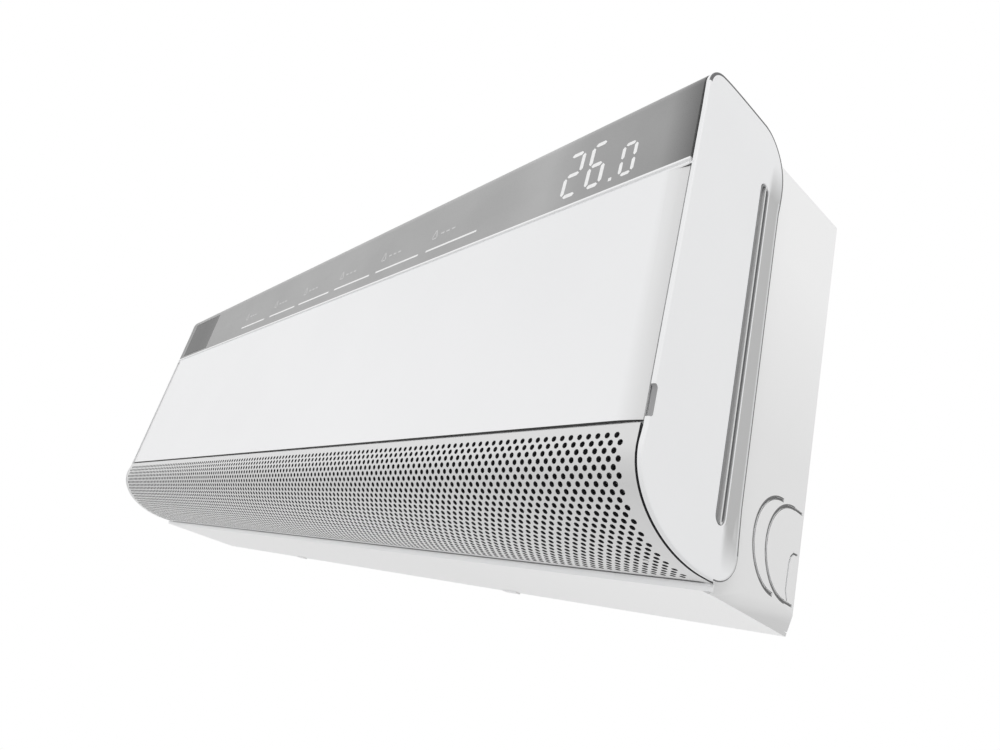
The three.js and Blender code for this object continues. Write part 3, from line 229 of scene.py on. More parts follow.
def casing_moulding():
    """White casing with painted shade on its sides and in its scored grooves, and painted light
    on its underside.
    """
    s = plastic("casing_moulding", (0.865, 0.868, 0.875, 1), (0.85, 0.853, 0.86, 1), 0.42, 1.2)
    x, y = s.axis("X"), s.axis("Y")
    z = s.calc("ADD", s.axis("Z"), MOUNT_Z)
    outward = s.calc("ABSOLUTE", s.facing("X"))
    up = s.facing("Z")
    side = s.calc("GREATER_THAN", outward, 0.9)
    # painted shade: the sides grow darker towards their foot
    s.shade(side, s.ramp(s.span(z, 0, 1, 0, 320), [(0.0, 0.74), (0.35, 0.76), (0.8, 0.86)]))
    # painted shade where the sides tilt down
    s.shade(s.all_of(side, s.span(up, 1, 0, -0.16, -0.04)), grey(0.60))
    # painted light: the underside grows lighter towards +X
    under = s.calc("LESS_THAN", up, -0.8)
    s.shade(under, s.ramp(s.span(x, 0, 1, -480, 480), [(0.0, 0.86), (0.7, 0.87), (1.0, 0.94)]))
    lines = s.calc("MAXIMUM", scored_arc(s, y, z, -30), scored_arc(s, y, z, -14))
    ends = s.calc("MAXIMUM", s.within(z, 81.6, 83.6), s.within(z, 18.5, 20.4))
    straight = s.all_of(s.within(y, -14.5, -3), ends)
    groove = s.all_of(
        s.within(s.calc("ABSOLUTE", x), CASE_X - 1.2, CASE_X - 0.3),
        s.within(y, -17, -2), s.within(z, 18, 58))
    scored = s.calc("MAXIMUM", s.calc("MAXIMUM", lines, straight), groove)
    # painted shade in the scored knock-out grooves
    s.shade(s.all_of(side, scored), grey(0.11))
    return s.material


def scored_arc(s, y, z, centre):
    """Half an ellipse scored round a pipe knock-out, where the painted groove shade goes."""
    run = s.calc("DIVIDE", s.calc("SUBTRACT", y, centre), 32.0)
    rise = s.calc("DIVIDE", s.calc("SUBTRACT", z, 51.0), 32.4)
    reach = s.calc("SQRT", s.calc("MULTIPLY_ADD", run, run, s.calc("MULTIPLY", rise, rise)))
    off = s.calc("ABSOLUTE", s.calc("MULTIPLY_ADD", reach, 32.0, -31.25))
    return s.all_of(s.calc("LESS_THAN", off, 1.4), s.calc("LESS_THAN", run, 0.0),
                    s.calc("GREATER_THAN", y, -64.0))


def slot_moulding():
    """Slot lining darkened with painted shade, with a pale edge on its guide fin."""
    # the dark base colour is painted shade inside the slot
    s = plastic("slot_moulding", (0.22, 0.222, 0.225, 1), (0.2, 0.202, 0.205, 1), 0.45, 1.5)
    z = s.calc("ADD", s.axis("Z"), MOUNT_Z)
    lean = s.calc("MULTIPLY_ADD", z, LEAN, SEAM_DEPTH - LEAN * SEAM_Z)
    depth = s.calc("ADD", s.axis("Y"), lean)
    edge = s.all_of(
        s.within(depth, SLOT_SETBACK + 0.5, SLOT_SETBACK + 2.6),
        s.calc("GREATER_THAN", s.calc("ABSOLUTE", s.axis("X")), 478.0))
    s.shade(edge, grey(0.66))
    return s.material


def panel_moulding():
    """White front panel with painted shade: greyer where its edges roll back, near black on faces
    turned down, grey on its end faces.
    """
    s = plastic("panel_white", (0.805, 0.807, 0.815, 1), (0.792, 0.794, 0.802, 1), 0.34, 0.8)
    # painted shade where the edges roll back
    turned = s.span(s.calc("ABSOLUTE", s.facing("X")), 0, 1, 0.01, 0.16)
    s.shade(s.all_of(turned, s.calc("LESS_THAN", s.facing("Y"), -0.5)), grey(0.64))
    # painted shade in the gaps under and beside the panel
    s.shade(s.calc("LESS_THAN", s.facing("Z"), -0.8), grey(0.05))
    s.shade(s.calc("GREATER_THAN", s.calc("ABSOLUTE", s.facing("X")), 0.8), grey(0.55))
    return s.material


def flap_moulding():
    """White flap skin, its tone painted shade by which way it faces, greyest where its curve
    turns under.
    """
    s = Shader("flap_white")
    # painted shade: the skin's tone follows which way it faces
    turn = s.span(s.facing("Z"), 0, 1, -1.0, 0.0)
    tone = s.ramp(turn, [(0.0, 0.74), (0.12, 0.70), (0.4, 0.61), (0.7, 0.62), (1.0, 0.67)])
    fine = s.noise(2600, 2)
    s.set(Base_Color=tone, Roughness=s.span(fine, 0.36, 0.46))
    return s.bump(fine, 1e-5, 0.6).material


def metal(name, colour, shade, roughness, stretch):
    """Rolled or drawn metal with fine lines along its grain."""
    s = Shader(name)
    lines = s.noise(400, 3, stretch)
    s.set(Base_Color=s.blend(s.span(lines, 0, 1), colour, shade), Metallic=0.95)
    s.set(Roughness=s.span(lines, roughness - 0.06, roughness + 0.1))
    return s.bump(lines, 2e-5, 0.5).material


def finned():
    """Thin fins stacked along the width, seen as close upright lines with painted shade between
    them.
    """
    s = Shader("fin_stock")
    wave = s.add("ShaderNodeTexWave", {"Vector": s.point, "Scale": 110.0}, bands_direction="X")
    lines = wave.outputs["Fac"]
    # dark bands: painted shade in the gaps between the fins
    s.set(Base_Color=s.blend(lines, (0.2, 0.2, 0.21, 1), (0.72, 0.74, 0.76, 1)))
    s.set(Metallic=0.7, Roughness=s.span(s.noise(60), 0.32, 0.5))
    return s.bump(lines, 4e-4, 0.9).material


def smoked_band():
    """Tinted strip: painted shade darkens it towards its rolled ends, and it has a soft lighter
    patch.
    """
    s = Shader("tinted_band")
    along = s.span(s.axis("X"), 0, 1, -SKIN_X, SKIN_X)
    # painted shade towards both rolled ends
    tone = s.ramp(along, [
        (0.0, 0.20), (0.02, 0.27), (0.11, 0.27), (0.12, 0.30), (0.45, 0.36),
        (0.80, 0.37), (0.86, 0.40), (0.90, 0.34), (0.975, 0.30), (1.0, 0.14),
    ])
    cloud = s.span(s.noise(14, 3), 0.96, 1.04)
    mixed = s.add("ShaderNodeVectorMath", {0: tone, "Scale": cloud}, operation="SCALE")
    s.set(Base_Color=mixed.outputs[0], Roughness=s.span(s.noise(1800), 0.26, 0.36))
    s.set(Specular_IOR_Level=0.15)
    return s.bump(s.noise(2200), 4e-6, 0.4).material


def lens():
    s = Shader("sensor_lens")
    tone = s.ramp(s.span(s.axis("X"), 0, 1, -463.6, -364.4), [
        (0.0, 0.030), (0.55, 0.035), (0.9, 0.060), (1.0, 0.085)])
    s.set(Base_Color=tone, Roughness=s.span(s.noise(900), 0.16, 0.24), Specular_IOR_Level=0.15)
    return s.bump(s.noise(1500), 4e-6, 0.3).material


def circuit_board():
    s = Shader("coated_board")
    tracks = s.add(
        "ShaderNodeTexVoronoi", {"Vector": s.point, "Scale": 240.0}, feature="DISTANCE_TO_EDGE")
    edge = s.span(tracks.outputs["Distance"], 0, 1, 0.0, 0.08)
    s.set(Base_Color=s.blend(edge, (0.25, 0.22, 0.08, 1), (0.02, 0.16, 0.08, 1)), Roughness=0.4)
    return s.bump(edge, 2e-5, 0.5).material


WHITE = moulded("white_moulding", (0.865, 0.868, 0.875, 1), (0.85, 0.853, 0.86, 1), 0.42, 1.2)
CASING = casing_moulding()
SIDE = side_moulding()
PANEL = panel_moulding()
FLAP = flap_moulding()
GUIDE = slot_moulding()
GREY = moulded("grey_moulding", (0.06, 0.06, 0.063, 1), (0.045, 0.045, 0.048, 1), 0.5, 2.0)
# painted seam shadow round the side plates' rims
SEAM_SHADOW = moulded("seam_shadow", (0.13, 0.13, 0.133, 1), (0.11, 0.11, 0.113, 1), 0.6, 1.0)
# painted highlight: the pale line along the side plates' back edge
PAINTED_HIGHLIGHT = moulded("pale_edge", (0.62, 0.622, 0.628, 1), (0.6, 0.602, 0.608, 1), 0.42, 1.0)
POCKET = moulded("notch_grey", (0.29, 0.29, 0.295, 1), (0.27, 0.27, 0.275, 1), 0.5, 1.0)
# dark parts' own colour, also painted shade on the flap's inner face and walls
DARK_AND_SHADE = moulded("dark_moulding", (0.03, 0.03, 0.033, 1), (0.022, 0.022, 0.025, 1), 0.55, 2.0)
RUBBER = moulded("black_rubber", (0.03, 0.03, 0.03, 1), (0.02, 0.02, 0.02, 1), 0.8, 3.0)
BUTTON = moulded("grey_button", (0.30, 0.30, 0.31, 1), (0.26, 0.26, 0.27, 1), 0.45, 1.5)
STEEL = metal("plated_steel", (0.62, 0.63, 0.65, 1), (0.5, 0.51, 0.53, 1), 0.34, (0.05, 1, 1))
COPPER = metal("copper_tube", (0.74, 0.36, 0.2, 1), (0.6, 0.26, 0.14, 1), 0.3, (0.05, 1, 1))
BRASS = metal("turned_brass", (0.78, 0.6, 0.28, 1), (0.68, 0.5, 0.22, 1), 0.28, (1, 0.1, 1))
FINS = finned()
BAND = smoked_band()
LENS = lens()
BOARD = circuit_board()

LOOKS = {
    "casing": CASING, "side_plate_left": SIDE, "side_plate_right": SIDE,
    "inlet_grille": WHITE, "control_box": WHITE, "front_panel": PANEL,
    "band_trim": PANEL, "flap": FLAP, "display_band": BAND, "sensor_window": LENS,
    "slot_guide_left": GUIDE, "slot_guide_right": GUIDE, "chassis": GREY,
    "drip_tray": GREY, "drain_spout": GREY, "motor_clamp": GREY,
    "vane_rail_left": GREY, "vane_rail_right": GREY, "vane_link_left": GREY,
    "vane_link_right": GREY, "fan": DARK_AND_SHADE, "filter_left": DARK_AND_SHADE, "filter_right": DARK_AND_SHADE,
    "flap_bush": DARK_AND_SHADE, "terminal_block": DARK_AND_SHADE, "fan_bearing": RUBBER,
    "drain_plug": RUBBER, "service_button": BUTTON, "wall_plate": STEEL,
    "fan_motor": STEEL, "flap_motor": STEEL, "control_cover": STEEL,
    "vane_motor_left": STEEL, "vane_motor_right": STEEL, "gas_pipe": COPPER,
    "liquid_pipe": COPPER, "coil_end_left": COPPER, "coil_end_right": COPPER,
    "gas_nut": BRASS, "liquid_nut": BRASS, "coil_front_lower": FINS,
    "coil_front_upper": FINS, "coil_rear": FINS, "main_board": BOARD,
    "display_board": BOARD,
}


def dress_frame():
    """Gives every CAD node its finish, smooth on curves and crisp at edges."""
    for name, node in NODES.items():
        node.data.materials.clear()
        node.data.materials.append(LOOKS.get(name, DARK_AND_SHADE))
        node.data.shade_smooth()
        weld = node.modifiers.new("weld", "WELD")
        weld.merge_threshold = 1e-6
        split = node.modifiers.new("split", "EDGE_SPLIT")
        split.split_angle = math.radians(32)
        weighted = node.modifiers.new("weighted", "WEIGHTED_NORMAL")
        weighted.keep_sharp = True


# ------------------------------------------------------------------ mesh helper
def build(name, points, faces, material, body, slot, sharp=35):
    """A new piece riding on a body, from points in millimetres."""
    mesh = bpy.data.meshes.new(name)
    mesh.from_pydata([place(*p) for p in points], [], faces)
    for look in material if isinstance(material, tuple) else (material,):
        mesh.materials.append(look)
    mesh.shade_smooth()
    mesh.set_sharp_from_angle(angle=math.radians(sharp))
    piece = bpy.data.objects.new(name, mesh)
    bpy.context.scene.collection.objects.link(piece)
    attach(piece, body)
    return piece


# -------------------------------------------------------------------- the flap
def flap_line():
    """The flap's outer section as (y, z) points a fraction of a millimetre apart."""
    line = [(-SEAM_DEPTH, FLAP_TOP), (-SEAM_DEPTH, FLAP_BEND_Z)]
    radius_z = FLAP_BEND_Z - FLAP_BOTTOM
    for i in range(1, 181):
        angle = math.radians(180 + i / 2)
        line.append((
            FLAP_CURVE_Y + FLAP_REACH * math.cos(angle),
            FLAP_BEND_Z + radius_z * math.sin(angle),
        ))
    for i in range(CURL_STEPS):
        angle = math.radians(CURL_START + i)
        line.append((PIVOT_Y + CURL_R * math.cos(angle), PIVOT_Z + CURL_R * math.sin(angle)))
    return line


class Section:
    """A line that can be read at any distance along it, with its inward normal."""

    def __init__(self, line):
        self.line = [Vector(p) for p in line]
        self.reach = [0.0]
        for a, b in zip(self.line, self.line[1:]):
            self.reach.append(self.reach[-1] + (b - a).length)

    def at(self, s):
        s = min(max(s, 0.0), self.reach[-1])
        last = len(self.reach) - 1
        i = next(k for k in range(1, last + 1) if self.reach[k] >= s or k == last)
        a, b = self.line[i - 1], self.line[i]
        t = (s - self.reach[i - 1]) / (self.reach[i] - self.reach[i - 1])
        return a.lerp(b, t)

    def inward(self, s):
        run = self.at(s + 0.6) - self.at(s - 0.6)
        return Vector((-run.y, run.x)).normalized()

    def find(self, y):
        """Distance along the lower run where the section reaches depth y."""
        return next(s for s, p in zip(self.reach[150:], self.line[150:]) if p.x >= y)


class Sheet:
    """Faces on the (x, distance) plane, wrapped on a section and given thickness."""

    def __init__(self, section):
        self.section = section
        self.keys = {}
        self.flat = []
        self.faces = []
        self.walls = 0              # faces across the thickness

    def vertex(self, x, s):
        key = (round(x, 3), round(s, 3))
        if key not in self.keys:
            self.keys[key] = len(self.flat)
            self.flat.append((x, s))
        return self.keys[key]

    def face(self, *corners):
        loop = [self.vertex(*c) for c in corners]
        loop = [a for a, b in zip(loop, loop[1:] + loop[:1]) if a != b]
        if len(loop) > 2:
            self.faces.append(loop)

    def solid(self, thickness):
        points = []
        for x, s in self.flat:
            p = self.section.at(s)
            points.append((x, p.x, p.y))
        for x, s in self.flat:
            p = self.section.at(s) + self.section.inward(s) * thickness
            points.append((x, p.x, p.y))
        count = len(self.flat)
        used = {(a, b) for loop in self.faces for a, b in zip(loop, loop[1:] + loop[:1])}
        walls = [[b, a, a + count, b + count] for a, b in used if (b, a) not in used]
        self.walls = len(walls)
        inner = [[i + count for i in reversed(loop)] for loop in self.faces]
        return points, self.faces + inner + walls


def perforated_cell(sheet, x, s):
    """One cell of the pattern: a round hole with its square of skin around it."""
    dx, ds = HOLE_PITCH / 2, ROW_PITCH / 2
    frame_line = [(x - dx, s - ds), (x, s - ds), (x + dx, s - ds),
                  (x + dx, s + ds), (x, s + ds), (x - dx, s + ds)]
    turn = 2 * math.pi / HOLE_SIDES
    ring = [(x + HOLE_R * math.cos(turn * (i + 0.5)), s + HOLE_R * math.sin(turn * (i + 0.5)))
            for i in range(HOLE_SIDES)]
    e, b, a, h, g, f, c, d = ring
    low_left, low, low_right, top_right, top, top_left = frame_line
    sheet.face(low_left, low, f)
    sheet.face(low, c, f)
    sheet.face(low, low_right, c)
    sheet.face(low_right, d, c)
    sheet.face(low_right, top_right, e, d)
    sheet.face(top_right, b, e)
    sheet.face(top_right, top, b)
    sheet.face(top, a, b)
    sheet.face(top, top_left, a)
    sheet.face(top_left, h, a)
    sheet.face(top_left, low_left, g, h)
    sheet.face(low_left, f, g)


def flap_sheet():
    section = Section(flap_line())
    sheet = Sheet(section)
    end = section.find(FLAP_REAR_Y)
    first = FIRST_ROW - ROW_PITCH / 2
    rows = int((end - 4.0 - first) / ROW_PITCH)
    left = -HOLE_PITCH * HOLE_COLUMNS / 2
    for row in range(rows):
        s = first + ROW_PITCH * (row + 0.5)
        short = 1 - row % 2
        shift = HOLE_PITCH / 2 * short
        for column in range(HOLE_COLUMNS - short):
            perforated_cell(sheet, left + HOLE_PITCH * (column + 0.5) + shift, s)
        if short:
            half_cell(sheet, left, s, 1)
            half_cell(sheet, -left, s, -1)
    columns = [left + HOLE_PITCH / 2 * i for i in range(2 * HOLE_COLUMNS + 1)]
    last = first + ROW_PITCH * rows
    strip(sheet, columns, [0.0, 1.2, first])
    strip(sheet, columns, [last, (last + end) / 2, end])
    curl = [end + (section.reach[-1] - end) * i / 8 for i in range(9)]
    strip(sheet, columns[1:-1], curl)
    levels = [0.0, 1.2] + [first + ROW_PITCH * i for i in range(rows + 1)]
    levels += [(last + end) / 2, end]
    for side in (-1, 1):
        end_margin(sheet, section, side, -left, levels)
    return sheet


def half_cell(sheet, x, s, side):
    ds = ROW_PITCH / 2
    corners = [(x, s - ds), (x + side * HOLE_PITCH / 2, s - ds),
               (x + side * HOLE_PITCH / 2, s + ds), (x, s + ds)]
    sheet.face(*(corners if side > 0 else corners[::-1]))


def strip(sheet, columns, levels):
    for s0, s1 in zip(levels, levels[1:]):
        for x0, x1 in zip(columns, columns[1:]):
            sheet.face((x0, s0), (x1, s0), (x1, s1), (x0, s1))


def end_margin(sheet, section, side, start, levels):
    """The plain edge at one end, with the rounded rear corner."""
    corner = [(473.0, -104.4), (474.8, -104.9), (476.4, -106.0), (477.8, -107.7),
              (478.9, -110.0), (SKIN_X, -112.8)]
    stations = [(start, levels[-1])]
    stations += [(x, section.find(y)) for x, y in corner]
    for (xa, ea), (xb, eb) in zip(stations, stations[1:]):
        for s0, s1 in zip(levels, levels[1:]):
            loop = [(side * xa, min(s0, ea)), (side * xb, min(s0, eb)),
                    (side * xb, min(s1, eb)), (side * xa, min(s1, ea))]
            sheet.face(*(loop if side > 0 else loop[::-1]))


def prism(outline, x0, x1):
    """Points and faces of a (y, z) outline extruded along X."""
    count = len(outline)
    points = [(x, y, z) for x in (x0, x1) for y, z in outline]
    faces = [list(range(count))[::-1], list(range(count, 2 * count))]
    faces += [[i, (i + 1) % count, count + (i + 1) % count, count + i] for i in range(count)]
    return points, faces


def ring_points(y, z, radius, sides):
    return [(y + radius * math.cos(2 * math.pi * i / sides),
             z + radius * math.sin(2 * math.pi * i / sides)) for i in range(sides)]


def merge(parts):
    points, faces = [], []
    for part_points, part_faces in parts:
        start = len(points)
        points += part_points
        faces += [[start + i for i in loop] for loop in part_faces]
    return points, faces


def flap():
    foot = FLAP_BOTTOM + FLAP_T / 2
    arm = [(PIVOT_Y - 22, foot), (PIVOT_Y + 4.5, foot), (PIVOT_Y + LUG_R, PIVOT_Z),
           (PIVOT_Y + LUG_R * 0.5, PIVOT_Z + LUG_R * 0.86),
           (PIVOT_Y - LUG_R * 0.5, PIVOT_Z + LUG_R * 0.86), (PIVOT_Y - LUG_R, PIVOT_Z)]
    sheet = flap_sheet()
    parts = [
        sheet.solid(FLAP_T),
        prism(arm, LUG_X, LUG_X + LUG_T),
        prism(arm, -LUG_X - LUG_T, -LUG_X),
        prism(ring_points(PIVOT_Y, PIVOT_Z, SHAFT_R, 16), -LUG_X - LUG_T - 8, -LUG_X),
    ]
    piece = build("perforated_flap", *merge(parts), (FLAP, DARK_AND_SHADE), "flap", "panel_white")
    # inner face and walls take the dark material: painted shade, so holes and edges read dark
    outside = len(sheet.faces)
    for polygon in piece.data.polygons:
        polygon.material_index = int(outside <= polygon.index < 2 * outside + sheet.walls)
    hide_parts("flap")


# ------------------------------------------------------------- the side plates
def arc(y, z, radius_y, radius_z, start, end, steps):
    turns = [math.radians(start + (end - start) * i / steps) for i in range(steps + 1)]
    return [(y + radius_y * math.cos(t), z + radius_z * math.sin(t)) for t in turns]


def top_z(y, inset=0.0):
    return HEIGHT + TOP_SLOPE * y - inset


def crown(inset, steps):
    """From the rounded nose to the sloping top, on the casing's own curve."""
    start = arc(front_y(NOSE_Z) + NOSE_R, NOSE_Z, NOSE_R - inset, NOSE_R - inset,
                180 - NOSE_SWEEP, 0, 1)[0]
    end = (CROWN_Y, top_z(CROWN_Y, inset))
    rise = math.tan(math.radians(90 - NOSE_SWEEP))
    meet_y = (end[1] - start[1] + rise * start[0] - TOP_SLOPE * end[0]) / (rise - TOP_SLOPE)
    meet = (meet_y, start[1] + rise * (meet_y - start[0]))
    line = []
    for i in range(steps + 1):
        t = i / steps
        weights = ((1 - t) ** 2, 2 * t * (1 - t), t * t)
        pulls = list(zip(weights, (start, meet, end)))
        line.append(tuple(sum(w * p[k] for w, p in pulls) for k in (0, 1)))
    return line


def plate_line(inset, notched):
    """The side plate's outline as (y, z), from its foot round the back and top."""
    foot_z = FOOT_Z + FOOT_R
    foot_y, foot_r = front_y(foot_z) + PLATE_DEPTH - FOOT_R, FOOT_R - inset
    line = arc(foot_y, foot_z, foot_r, foot_r, -90, 0, ARC_STEPS)
    corner_y = front_y(NOSE_Z) + PLATE_DEPTH - TOP_RY
    upper = arc(corner_y, top_z(corner_y) - TOP_RZ, TOP_RY - inset, TOP_RZ - inset, 0, 90, 20)
    low, high = line[-1], upper[0]
    line += [tuple(a + (b - a) * i / REAR_STEPS for a, b in zip(low, high))
             for i in range(1, REAR_STEPS)]
    line += upper
    line += crown(inset, 14)[::-1]
    line += arc(front_y(NOSE_Z) + NOSE_R, NOSE_Z, NOSE_R - inset, NOSE_R - inset,
                180 - NOSE_SWEEP, 180, 10)[1:]
    rim_end = len(line) - 1
    levels = [280, 250, 220, 190, 160, 130, 105]
    if notched:
        levels += [NOTCH_HIGH + 0.01, NOTCH_HIGH, NOTCH_HIGH - 0.7, NOTCH_HIGH - 1.7,
                   NOTCH_LOW + 1.7, NOTCH_LOW + 0.7, NOTCH_LOW, NOTCH_LOW - 0.01]
    for z in levels + [62]:
        middle = abs(z - (NOTCH_LOW + NOTCH_HIGH) / 2) - (NOTCH_HIGH - NOTCH_LOW) / 2
        dent = NOTCH_DEPTH * math.sqrt(min(max(-middle / 1.7, 0.0), 1.0)) if notched else 0.0
        line.append((front_y(z, inset + FACE_SETBACK + dent), z))
    drop = FLAP_BEND_Z - FLAP_BOTTOM - 0.3
    line += arc(FLAP_CURVE_Y, FLAP_BEND_Z, FLAP_REACH - inset, drop - inset, 180, 270, 30)
    return line, rim_end


def turned_in(y, z):
    """How far the plate's face has turned in at a point behind the slot."""
    past = y - front_y(z) - ROLL_FROM
    slope = ROLL_IN / (PLATE_DEPTH - ROLL_FROM - ROLL_EASE / 2)
    flat = slope * (past * past / (2 * ROLL_EASE) if past < ROLL_EASE else past - ROLL_EASE / 2)
    fade = min(
        max((z - FADE_LOW) / FADE_LOW_RUN, 0.0), max((FADE_HIGH - z) / FADE_HIGH_RUN, 0.0), 1.0)
    return flat * fade * fade * (3 - 2 * fade) if past > 0 else 0.0


def slot_line(radius):
    """The air slot's outline, leaning with the front."""
    line = arc(SLOT_SETBACK, SLOT_HIGH - SLOT_R, radius, radius, 0, 180, 12)
    line += arc(SLOT_SETBACK, SLOT_LOW + SLOT_R, radius, radius, 180, 360, 12)
    return [(front_y(z) + depth, z) for depth, z in line]


def inside(point, ring):
    hit = False
    for (y0, z0), (y1, z1) in zip(ring, ring[1:] + ring[:1]):
        if (z0 > point[1]) != (z1 > point[1]):
            if point[0] < y0 + (y1 - y0) * (point[1] - z0) / (z1 - z0):
                hit = not hit
    return hit


class Shell:
    """A closed solid built from rings of points at set distances along X."""

    def __init__(self):
        self.points, self.faces, self.looks = [], [], []

    def ring(self, line, x):
        """Adds a ring of (y, z) points, at one X or at an X for each point."""
        start = len(self.points)
        self.points += [(x(y, z) if callable(x) else x, y, z) for y, z in line]
        return list(range(start, len(self.points)))

    def wall(self, first, second, looks=None):
        """Joins two rings of as many points; looks gives the material of each face."""
        for k in range(len(first)):
            n = (k + 1) % len(first)
            self.faces.append([first[k], first[n], second[n], second[k]])
            self.looks.append(looks(k) if looks else OUTER)

    def cap(self, outer, holes, extra=(), flip=False):
        """Triangles between a ring and its holes, through some extra points."""
        ids = [*outer, *(i for hole in holes for i in hole), *extra]
        edges, start = [], 0
        for ring in (outer, *holes):
            edges += [(start + k, start + (k + 1) % len(ring)) for k in range(len(ring))]
            start += len(ring)
        flat = [Vector(self.points[i][1:]) for i in ids]
        corners, _, faces, source, _, _ = delaunay_2d_cdt(flat, edges, [], 0, 1e-6)
        rings = [[self.points[i][1:] for i in ring] for ring in (outer, *holes)]
        for loop in faces:
            middle = sum((corners[i] for i in loop), Vector((0, 0))) / len(loop)
            in_hole = any(inside(middle, hole) for hole in rings[1:])
            if inside(middle, rings[0]) and not in_hole:
                loop = [ids[source[i][0]] for i in loop]
                self.faces.append(loop[::-1] if flip else loop)
                self.looks.append(OUTER)


def side_plate(name, side):
    """One side plate: lip with a rounded edge, inner block, slot and notch, with painted seam
    shadow round its rim and a painted highlight along its back edge.
    """
    notched = side > 0
    shell = Shell()

    def face(y, z):
        return HALF - turned_in(y, z)

    def lip(y, z):
        return min(LIP_X, face(y, z) - EDGE_R - 1)

    def at(inset, drop):
        line, _ = plate_line(inset, notched)
        return shell.ring(line, lambda y, z: face(y, z) - drop)

    outline, rim_end = plate_line(0, notched)
    bend = [math.radians(a) for a in (30, 60, 90)]
    rings = [shell.ring(outline, lip), at(0, EDGE_R)]
    rings += [at(EDGE_R * (1 - math.cos(a)), EDGE_R * (1 - math.sin(a))) for a in bend]
    rings += [at(EDGE_R + RIM, 0), at(EDGE_R + RIM + PALE, 0)]
    notch = {k for k, (y, z) in enumerate(outline) if NOTCH_LOW <= z <= NOTCH_HIGH and y < -190}
    count = len(outline)

    # looks: painted seam shadow round the rim, notch grey in the notch
    def look(k):
        if notched and k in notch and (k + 1) % count in notch:
            return POCKET_LOOK
        return SEAM_SHADOW_LOOK if FOOT_END <= k < rim_end else OUTER

    def only(wanted):
        return lambda k: wanted if look(k) == wanted else OUTER

    def foot_seam_shadow(k):
        return SEAM_SHADOW_LOOK if k < FOOT_END else look(k)

    shell.wall(rings[0], rings[1], only(POCKET_LOOK))
    shell.wall(rings[1], rings[2], look)
    shell.wall(rings[2], rings[3], foot_seam_shadow)
    shell.wall(rings[3], rings[4], foot_seam_shadow)
    shell.wall(rings[4], rings[5], only(SEAM_SHADOW_LOOK))
    # painted highlight: a pale band along the back edge
    shell.wall(rings[5], rings[6], lambda k: HIGHLIGHT_LOOK if PALE_START <= k < PALE_END else OUTER)

    slot = [shell.ring(slot_line(SLOT_R + SLOT_EDGE - SLOT_EDGE * t),
                       lambda y, z, t=t: face(y, z) - SLOT_EDGE * t * t)
            for t in (0, 0.5, 1)]
    slot.append(shell.ring(slot_line(SLOT_R), PLATE_BACK))
    for outer, inner in zip(slot, slot[1:]):
        shell.wall(inner, outer)
    border = plate_line(EDGE_R + RIM + PALE + 2.0, notched)[0]
    gap = slot_line(SLOT_R + 2.2)
    grid = [(front_y(z) + depth, z) for z in range(8, 330, 6) for depth in range(-12, 112, 3)]
    grid = [p for p in grid if inside(p, border) and not inside(p, gap)]
    shell.cap(rings[-1], [slot[0]], shell.ring(grid, face))

    block = plate_line(BLOCK_INSET, False)[0]
    foot = [p for p in block if p[1] <= BLOCK_STEP_Z and p[0] > BLOCK_REAR_Y]
    above = [p for p in block if p[1] > BLOCK_STEP_Z]
    block = [(BLOCK_REAR_Y, BLOCK_STEP_Z), (BLOCK_REAR_Y, BLOCK_FOOT_Z), *foot, *above,
             (FLAP_CURVE_Y - BLOCK_FRONT, BLOCK_STEP_Z)]
    lip_side, back = shell.ring(block, lip), shell.ring(block, PLATE_BACK)
    shell.cap(rings[0], [lip_side], flip=True)
    shell.wall(back, lip_side)
    shell.cap(back, [slot[-1]], flip=True)

    points = [(side * x, y, z) for x, y, z in shell.points]
    faces = [loop if side > 0 else loop[::-1] for loop in shell.faces]
    piece = build(f"{name}_moulding", points, faces, (SIDE, SEAM_SHADOW, POCKET, PAINTED_HIGHLIGHT),
                  "housing", "shell_white", 50)
    for polygon, index in zip(piece.data.polygons, shell.looks):
        polygon.material_index = index
    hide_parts(name)


# ------------------------------------------------------------- trim and sill
def trim():
    """The bright strip, with a flange down behind the gap over the panel."""
    top = TRIM_Z + TRIM_HEIGHT
    section = [
        (-0.3, TRIM_Z), (-0.1, TRIM_Z - 0.1), (1.2, TRIM_Z - 0.2), (1.4, PANEL_TOP + 0.2),
        (3.0, PANEL_TOP + 0.2), (3.0, top), (-0.1, top), (-0.3, top - 0.2)]
    points, faces = prism([(front_y(z, depth), z) for depth, z in section], -SKIN_X, SKIN_X)
    piece = build("trim_strip", points, faces, WHITE, "housing", "panel_white")
    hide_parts("band_trim")


def sill():
    """The casing's lip brought up close under the flap's rear edge."""
    section = [(-105.5, 0.05), (-106.5, 0.9), (-106.9, 2.2), (-106.8, 3.6), (-106.4, 4.15),
               (-105.7, 4.15), (-105.2, 3.0)]
    points, faces = prism(section, -LIP_X + 0.3, LIP_X - 0.3)
    build("outlet_sill", points, faces, CASING, "housing", "shell_white")


# -------------------------------------------------------------- display marks
SEGMENT_T = 0.12    # how far the lit marks stand out of the band
SEGMENT_ROOT = 0.5  # and how far they are let into it
DIGIT_LOW, DIGIT_HIGH, DIGIT_WIDTH = 251, 289, 3.5
LINE_LOW, LINE_HIGH, MARK_INDENT, MARK_Z = 253, 255, 8, 266


def on_band(x, z, out=SEGMENT_T):
    return (x, front_y(z, -out), z)


def plates(name, outlines, material):
    """Thin raised plates on the band from (x, z) outlines."""
    parts = []
    for outline in outlines:
        count = len(outline)
        points = [on_band(x, z) for x, z in outline]
        points += [on_band(x, z, -SEGMENT_ROOT) for x, z in outline]
        faces = [list(range(count)), list(range(count, 2 * count))[::-1]]
        faces += [[i, count + i, count + (i + 1) % count, (i + 1) % count] for i in range(count)]
        parts.append((points, faces))
    return build(name, *merge(parts), material, "housing", "panel_white")


